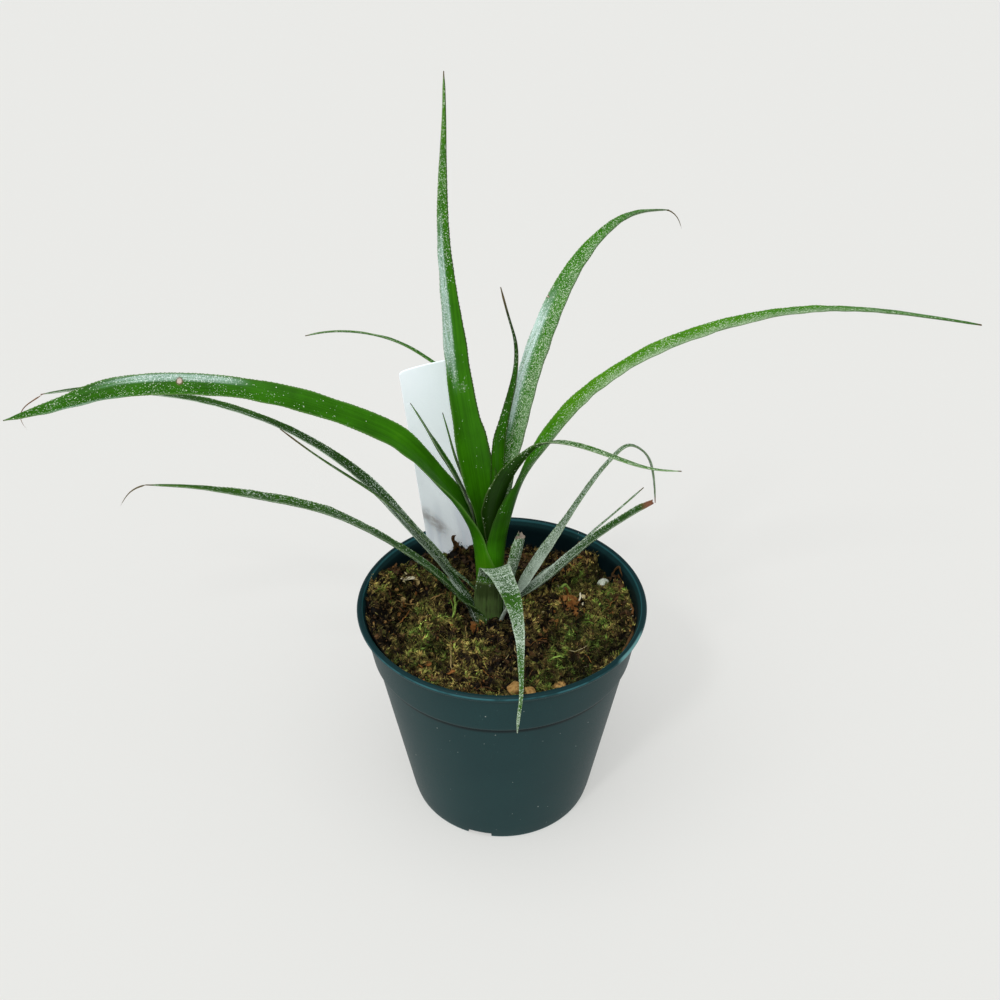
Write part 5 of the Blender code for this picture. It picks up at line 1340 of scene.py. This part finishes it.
class Field:
    """A node's output, with calls that add the next node and give that one's output."""

    def __init__(self, socket):
        self.socket = socket

    def new(self, kind, values, output=0, **settings):
        """Adds a node to the same tree, and feeds its sockets by their number or name."""
        node = self.socket.id_data.nodes.new("ShaderNode" + kind)
        for key, value in settings.items():
            setattr(node, key, value)
        for key, value in values.items():
            feed(node.inputs[key], value)
        return Field(node.outputs[output])

    def other(self, output):
        """Another output of the same node."""
        return Field(self.socket.node.outputs[output])

    def math(self, operation, second=0.0):
        return self.new("Math", {0: self, 1: second}, operation=operation)

    def __add__(self, second):
        return self.math("ADD", second)

    def __sub__(self, second):
        return self.math("SUBTRACT", second)

    def __mul__(self, second):
        return self.math("MULTIPLY", second)

    def at_least(self, second):
        return self.math("MAXIMUM", second)

    def under(self, second):
        """1 where this value is below the second, and 0 elsewhere."""
        return self.math("LESS_THAN", second)

    def size(self):
        return self.math("ABSOLUTE")

    def clamped(self):
        """The same value, kept between 0 and 1 by the node that made it."""
        self.socket.node.use_clamp = True
        return self

    def scaled(self, x, y, z):
        return self.new("VectorMath", {0: self, 1: (x, y, z)}, operation="MULTIPLY")

    def parts(self, kind="SeparateXYZ"):
        first = self.new(kind, {0: self})
        return [first.other(number) for number in range(3)]

    def noise(self, scale, detail=2.0, roughness=0.5):
        values = {"Vector": self, "Scale": scale, "Detail": detail, "Roughness": roughness}
        return self.new("TexNoise", values, "Fac")

    def cells(self, scale):
        """Distance to the nearest cell's middle, and the cell's two random numbers."""
        far = self.new("TexVoronoi", {"Vector": self, "Scale": scale}, "Distance")
        return far, *far.other("Color").parts("SeparateColor")[:2]

    def between(self, low, high, bottom=0.0, top=1.0):
        """Smooth step of the value between two limits."""
        values = dict(enumerate((self, low, high, bottom, top)))
        return self.new("MapRange", values, interpolation_type="SMOOTHSTEP")

    def blend(self, first, second):
        """The first colour where this mask is 0, and the second where it is 1."""
        return self.new("Mix", {0: self, 6: first, 7: second}, 2, data_type="RGBA")

    def painted(self, *layers):
        """This colour with one layer over the other, each as its mask and its colour."""
        colour = self
        for mask, paint in layers:
            colour = mask.blend(colour, paint)
        return colour

    def ramp(self, stops):
        """Colour for this tone, between stops that are each a tone and its colour."""
        colour = self.new("ValToRGB", {0: self})
        elements = colour.socket.node.color_ramp.elements
        while len(elements) < len(stops):
            elements.new(0.5)
        for element, (place, shade) in zip(elements, stops):
            element.position = place
            element.color = (*shade, 1.0)
        return colour

    def bump(self, distance, strength):
        return self.new("Bump", {"Height": self, "Distance": distance, "Strength": strength})

    def through(self, group, output, **inputs):
        """One output of a shared effect, laid out by this vector."""
        return self.new("Group", {"Vector": self, **inputs}, output, node_tree=group)


def effect(name, fill, outputs, **numbers):
    """A shader node group: fill gets its vector and numbers, and returns its outputs."""
    tree = bpy.data.node_groups.new(name, "ShaderNodeTree")
    tree.interface.new_socket(name="Vector", in_out="INPUT", socket_type="NodeSocketVector")
    for key, start in numbers.items():
        socket = tree.interface.new_socket(name=key, in_out="INPUT", socket_type="NodeSocketFloat")
        socket.default_value = start
    for key in outputs:
        tree.interface.new_socket(name=key, in_out="OUTPUT", socket_type="NodeSocketFloat")
    entry = tree.nodes.new("NodeGroupInput")
    leave = tree.nodes.new("NodeGroupOutput")
    for key, result in zip(outputs, fill(*(Field(entry.outputs[k]) for k in ("Vector", *numbers)))):
        feed(leave.inputs[key], result)
    return tree


def scurf_mask(vector, cover, patchiness, scale, lines, bands):
    """Pale scales: cells whose random number is under the cover, in a coarse and a fine size.

    The cover drifts in patches, follows the veins or bars across the leaf where told, and turns
    into felt where it is more than full.
    """
    drift = (vector.noise(0.16, 3.0) - 0.5) * patchiness
    line = (vector.scaled(1.5, 0.03, 1.0).noise(1.0) - 0.5) * (lines * 3.2)
    band = (vector.scaled(0.16, 1.1, 1.0).noise(1.0) - 0.5) * (bands * 3.0)
    spread = (cover + drift + (line + band)) * cover.between(0.0, 0.04)
    far, chance, size = vector.scaled(1.0, 0.75, 1.0).cells(scale)
    edge = size * 0.3 + 0.34
    coarse = chance.under(spread) * far.between(edge, edge - 0.12) * (size * 0.45 + 0.55)
    far, chance, size = vector.cells(scale * 2.1)
    fine = chance.under(spread * spread * 0.8) * far.between(0.55, 0.35)
    felt = spread.between(0.85, 1.35, 0.0, 0.75)
    return [coarse.at_least(fine * 0.6).at_least(felt).clamped()]


def vein_line(vector):
    """Fine lines along a leaf: noise stretched along, from 0 in a furrow to 1 on a rib."""
    fine = vector.scaled(3.4, 0.03, 1.0).noise(1.0, 1.0)
    broad = vector.scaled(0.9, 0.02, 1.0).noise(1.0, 1.0)
    return [(fine * 0.6 + broad * 0.4).between(0.36, 0.64)]


def dust_masks(vector, amount):
    """Sparse specks and short thin scratches, as masks from 0 to 1."""
    far, chance, size = vector.cells(0.3)
    specks = chance.under(amount) * far.between(size * 0.06 + 0.04, 0.02)
    lines = vector.scaled(2.6, 2.6, 0.25).noise(1.0)
    return [specks, lines.between(0.70, 0.76) * vector.noise(0.12).between(0.52, 0.66)]


class Look:
    """A new material with its principled shader."""

    def __init__(self, name, roughness, specular):
        self.material = bpy.data.materials.new(name)
        self.material.use_nodes = True
        self.nodes = self.material.node_tree.nodes
        self.feed(Roughness=roughness, Specular_IOR_Level=specular)

    def feed(self, **values):
        """Feeds the shader's sockets, and gives the finished material."""
        surface = self.nodes["Principled BSDF"]
        for key, value in values.items():
            feed(surface.inputs[key.replace("_", " ")], value)
        return self.material

    def value(self, name, output="Fac"):
        """A piece's own value or vector at each point."""
        node = self.nodes.new("ShaderNodeAttribute")
        node.attribute_name = name
        return Field(node.outputs[output])

    def place(self):
        """The place on the piece in mm."""
        return Field(self.nodes.new("ShaderNodeTexCoord").outputs["Object"]).scaled(1e3, 1e3, 1e3)


def leaf_material(name, scurf, veins, greens, scale_colour, scale_size, patchiness, roughness):
    """Green blade with veins, pale margins, painted shade on dark margins, white scurf, waxy bloom
    with a painted sheen, and dry brown parts.
    """
    look = Look(name, roughness, 0.09)
    blade = look.value("blade", "Vector")
    lines, bands, rust = look.value("pattern", "Vector").parts()
    bloom, rim, dry, wound = (look.value(key) for key in ("bloom", "rim", "dry", "scar"))
    line = blade.through(veins, "Line")
    mask = blade.through(scurf, "Mask", Cover=look.value("scurf").at_least(bloom * 0.8),
                         Patchiness=patchiness, Scale=scale_size, Lines=lines, Bands=bands)
    cloud = (blade.noise(0.11, 3.0) - 0.5) * 0.4
    tone = (look.value("tone") + cloud + line * -0.12).clamped()
    grain = blade.noise(3.4, 3.0, 0.7)
    streak = blade.scaled(1.8, 0.06, 1.0).noise(1.0)
    # Waxy bloom with its painted sheen, in streaks
    wax_sheen = bloom * streak.between(0.38, 0.6, 0.3, 0.95) * grain.between(0.3, 0.6, 0.5, 0.85)
    withered = [rust.blend(*colours) for colours in (DARK_DRY, LIGHT_DRY)]
    withered = grain.between(0.35, 0.65).blend(*withered)
    withered = (rust * -1.0).at_least(0.0).blend(withered, BLEACHED)
    scar = (wound + (grain - 0.5) * 1.1) * wound.between(0.02, 0.1)
    colour = tone.ramp(greens).painted(
        (rim.at_least(0.0) * 0.35, PALE_MARGIN), (wax_sheen, WAX_SHEEN),
        (mask * 0.95, bloom.blend(scale_colour, SCALE_SHEEN)),
        # Painted shade on dark margins
        ((rim * -1.0).at_least(0.0) * 0.75, SHADED_MARGIN), (dry, withered),
        (scar.between(0.2, 0.45, 0.0, 0.85), SCAR_RIM), (scar.between(0.6, 0.8), SCAR_MIDDLE))
    rough = (mask.at_least(dry) * 0.4 + roughness).clamped()
    height = mask * 0.5 + line * -0.35 + grain * 0.2
    return look.feed(Base_Color=colour, Roughness=rough, Normal=height.bump(0.00012, 0.6))


def pot_material(dust):
    """Dark moulded plastic, with painted highlights on the lip and foot and painted shade inside, on
    the lip's top and under the band's step.
    """
    look = Look("pot plastic", 0.42, 0.1)
    place = look.place()
    fine = place.noise(2.4, 4.0, 0.6)
    # Noise that breaks up the painted highlight line along the lip
    lip_highlight_breaks = place.noise(0.16, 3.0)
    height = place.parts()[2]
    flat = place.scaled(1.0, 1.0, 0.0)
    radius = flat.new("VectorMath", {0: flat}, "Value", operation="LENGTH")
    # Distance from the painted highlight spot on the lip
    highlight_spot_distance = place.new("VectorMath", {0: place, 1: LIP_HIGHLIGHT_PLACE}, "Value", operation="DISTANCE")
    slope = radius - (height - 71.6) * 0.149
    colour = place.noise(0.05, 3.0).blend(PLASTIC, PALE_PLASTIC)
    colour = colour.painted((fine.between(0.3, 0.7, 0.35, 0.0), DARK_PLASTIC))
    # Painted shade inside, painted shade on the lip's top, painted highlight lines on its outer and
    # inner edge, a painted highlight spot, painted shadow under the band's step and a painted
    # highlight along
    # the foot. Each: colour, strength, and the limits between which the layer sets in, in mm
    layers = (
        # Painted shade inside the pot
        ((0.0015, 0.006, 0.008), 1.0, (radius, 51.2, 50.8), (height, 71.0, 71.6),
         (slope, 48.9, 48.5), (height, 91.0, 86.0, 0.55, 0.88)),
        # Painted shade on the lip's top
        ((0.005, 0.027, 0.031), 0.8, (height, 90.3, 91.0), (radius, 51.6, 52.4)),
        # Painted highlight line along the lip's outer edge
        ((0.06, 0.21, 0.24), 1.0, (radius, 53.5, 53.7), (height, 90.1, 90.4),
         (height, 90.95, 90.75), (lip_highlight_breaks, 0.35, 0.65, 0.1, 0.52)),
        # Painted highlight line along the lip's inner edge
        ((0.03, 0.15, 0.165), 0.6, (radius, 51.5, 51.8), (radius, 52.3, 52.0),
         (height, 90.3, 90.7)),
        # Painted highlight spot on the lip's outer face
        ((0.18, 0.42, 0.42), 0.7, (highlight_spot_distance, 11.0, 6.0), (radius, 53.2, 53.7)),
        # Painted shadow under the band's step
        ((0.001, 0.005, 0.006), 0.8, (height, 68.6, 69.9), (height, 72.0, 71.7)),
        # Painted highlight along the foot's edge
        ((0.02, 0.13, 0.14), 0.5, (height, 1.3, 0.9), (radius, 35.2, 35.7)),
    )
    for paint, strength, *limits in layers:
        masks = [field.between(*numbers) for field, *numbers in limits]
        mask = math.prod(masks[1:], start=masks[0])
        colour = colour.painted((mask * strength, paint))
    specks = place.through(dust, "Specks", Amount=0.42)
    scratches = specks.other("Scratches")
    colour = colour.painted((specks * 0.85, POT_SPECKS), (scratches * 0.2, POT_SCRATCHES))
    rough = fine.between(0.2, 0.8, 0.36, 0.5)
    return look.feed(Base_Color=colour, Roughness=rough, Normal=fine.bump(0.00003, 0.5))


def moss_material():
    """Clumps from brown through olive to green, darkened by the pieces' lightness, which holds painted
    shade in the hollows.
    """
    look = Look("moss and soil", 0.7, 0.14)
    grain = look.place().noise(1.6, 3.0, 0.6)
    colour = (look.value("tone") + (grain - 0.5) * 0.25).clamped().ramp(MOSS_COLOURS)
    shade = look.value("light") * grain.between(0.25, 0.75, 0.7, 1.2)
    colour = colour.new("Mix", {0: 1.0, 6: colour, 7: shade}, 2, data_type="RGBA",
                        blend_type="MULTIPLY")
    return look.feed(Base_Color=colour, Normal=grain.bump(0.0002, 0.5))


def litter_material():
    """Dry bits from dark brown through orange and straw to cream, as the pieces say."""
    look = Look("dry litter", 0.6, 0.16)
    grain = look.place().noise(2.2, 3.0, 0.6)
    colour = (look.value("tone") + (grain - 0.5) * 0.3).clamped().ramp(LITTER_COLOURS)
    rough = grain.between(0.3, 0.7, 0.4, 0.75)
    return look.feed(Base_Color=colour, Roughness=rough, Normal=grain.bump(0.0002, 0.6))


def lump_material(name, dark, light, roughness):
    """Porous bark or stone: two shades in coarse grain."""
    look = Look(name, roughness, 0.15)
    grain = look.place().noise(0.9, 5.0, 0.65)
    colour = grain.between(0.3, 0.7).blend(dark, light)
    rough = grain.between(0.2, 0.8, roughness - 0.15, roughness)
    return look.feed(Base_Color=colour, Roughness=rough, Normal=grain.bump(0.0004, 0.8))


def tag_material(dust):
    """White vinyl with a painted glow as emission, painted shade on its lower part and a smear of
    earth near the soil.
    """
    look = Look("tag vinyl", 0.38, 0.4)
    sheet = look.value("sheet", "Vector")
    down = sheet.parts()[1]
    moved = sheet.new("VectorMath", {0: sheet, 1: SMEAR_MIDDLE}, operation="SUBTRACT")
    angle = math.radians(-SMEAR_TURN)
    tilted = moved.new("VectorRotate", {"Vector": moved, "Angle": angle}, rotation_type="Z_AXIS")
    beside, ahead, _ = tilted.parts()
    smear = tilted.scaled(0.16, 0.5, 1.0).noise(1.0, 3.0, 0.6)
    band = ahead.size().between(3.4, 0.4) * beside.size().between(13.0, 5.0)
    band = band * smear.between(0.3, 0.6, 0.35, 1.0)
    streak = sheet.scaled(0.28, 0.02, 1.0).noise(1.0)
    # Painted shade on the tag's lower part, in streaks
    low = down.between(58.0, 80.0) * streak.between(0.4, 0.65, 0.1, 1.0)
    specks = sheet.through(dust, "Specks", Amount=0.12)
    colour = sheet.noise(0.05).blend(VINYL, PALE_VINYL)
    colour = colour.painted((low * 0.4, TAG_FOOT_SHADE), (band * 0.62, TAG_EARTH),
                            (specks * 0.5, TAG_SPECKS))
    return look.feed(Base_Color=colour, Emission_Color=colour, Emission_Strength=TAG_PAINTED_GLOW,
                     Roughness=smear.between(0.3, 0.7, 0.32, 0.5), Normal=smear.bump(0.0002, 0.3))


def stem_material(veins):
    """Pale green tissue with fine lines."""
    look = Look("stem tissue", 0.5, 0.4)
    line = look.place().through(veins, "Line")
    return look.feed(Base_Color=line.blend(*STEM_GREENS), Roughness=line.between(0, 1, 0.45, 0.6))


def make_floor():
    """A wide plain floor under the pot, which is staging."""
    mesh = bpy.data.meshes.new("floor")
    corners = [(x * FLOOR_REACH, y * FLOOR_REACH, 0) for x, y in ((-1, -1), (1, -1), (1, 1), (-1, 1))]
    mesh.from_pydata(corners, [], [(0, 1, 2, 3)])
    floor = bpy.data.objects.new("floor", mesh)
    scene.collection.objects.link(floor)
    mesh.materials.append(Look("plain floor", 0.9, 0.2).feed(
        Base_Color=FLOOR_COLOUR, Emission_Color=FLOOR_GLOW_COLOUR, Emission_Strength=FLOOR_GLOW))


def light_scene():
    """Pale surroundings, a very broad light above the camera and two softer, weaker ones."""
    world = bpy.data.worlds.new("studio")
    world.use_nodes = True
    background = world.node_tree.nodes["Background"]
    feed(background.inputs["Color"], SURROUNDINGS_COLOUR)
    feed(background.inputs["Strength"], SURROUNDINGS_STRENGTH)
    scene.world = world
    for name, towards, share, angle in LIGHTS:
        towards = Vector(towards).normalized()
        data = bpy.data.lights.new(name, "SUN")
        data.energy = share * math.pi / towards.z
        data.angle = math.radians(angle)
        light = bpy.data.objects.new(name, data)
        light.location = towards
        light.rotation_euler = towards.to_track_quat("Z", "Y").to_euler()
        scene.collection.objects.link(light)
    scene.view_settings.view_transform = "Standard"


def add_camera():
    """The photo's own view, as a lens, a place and a point that it looks at."""
    data = bpy.data.cameras.new("camera")
    data.lens = CAMERA_LENS
    data.sensor_width = SENSOR_WIDTH
    data.sensor_fit = "HORIZONTAL"
    data.clip_start = NEAREST_SEEN
    camera = bpy.data.objects.new("camera", data)
    camera.location = CAMERA_PLACE
    ahead = Vector(CAMERA_AIM) - Vector(CAMERA_PLACE)
    camera.rotation_euler = ahead.to_track_quat("-Z", "Y").to_euler()
    scene.collection.objects.link(camera)
    scene.camera = camera


def main():
    """Camera, lights and floor, then the effects and materials, then every piece."""
    add_camera()
    light_scene()
    make_floor()
    scurf = effect("scurf scales", scurf_mask, ("Mask",),
                   Cover=0.5, Patchiness=0.6, Scale=2.0, Lines=0.0, Bands=0.0)
    veins = effect("leaf veins", vein_line, ("Line",))
    dust = effect("dust and scratches", dust_masks, ("Specks", "Scratches"), Amount=0.1)
    leaves = {name: leaf_material(name + " leaf", scurf, veins, *look)
              for name, look in LEAF_LOOKS.items()}
    moss = moss_material()
    litter = litter_material()
    bark, perlite = (lump_material(*look) for look in LUMP_LOOKS)

    make_leaves(leaves)
    make_pot(pot_material(dust))
    make_soil(moss)
    make_moss_leaflets(moss)
    make_moss_sprigs(moss)
    make_crumbs(litter)
    make_litter(litter, moss)
    make_tag(tag_material(dust))
    make_chips(bark, perlite)
    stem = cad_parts["stem"]
    stem.data.materials.clear()
    stem.data.materials.append(stem_material(veins))


main()
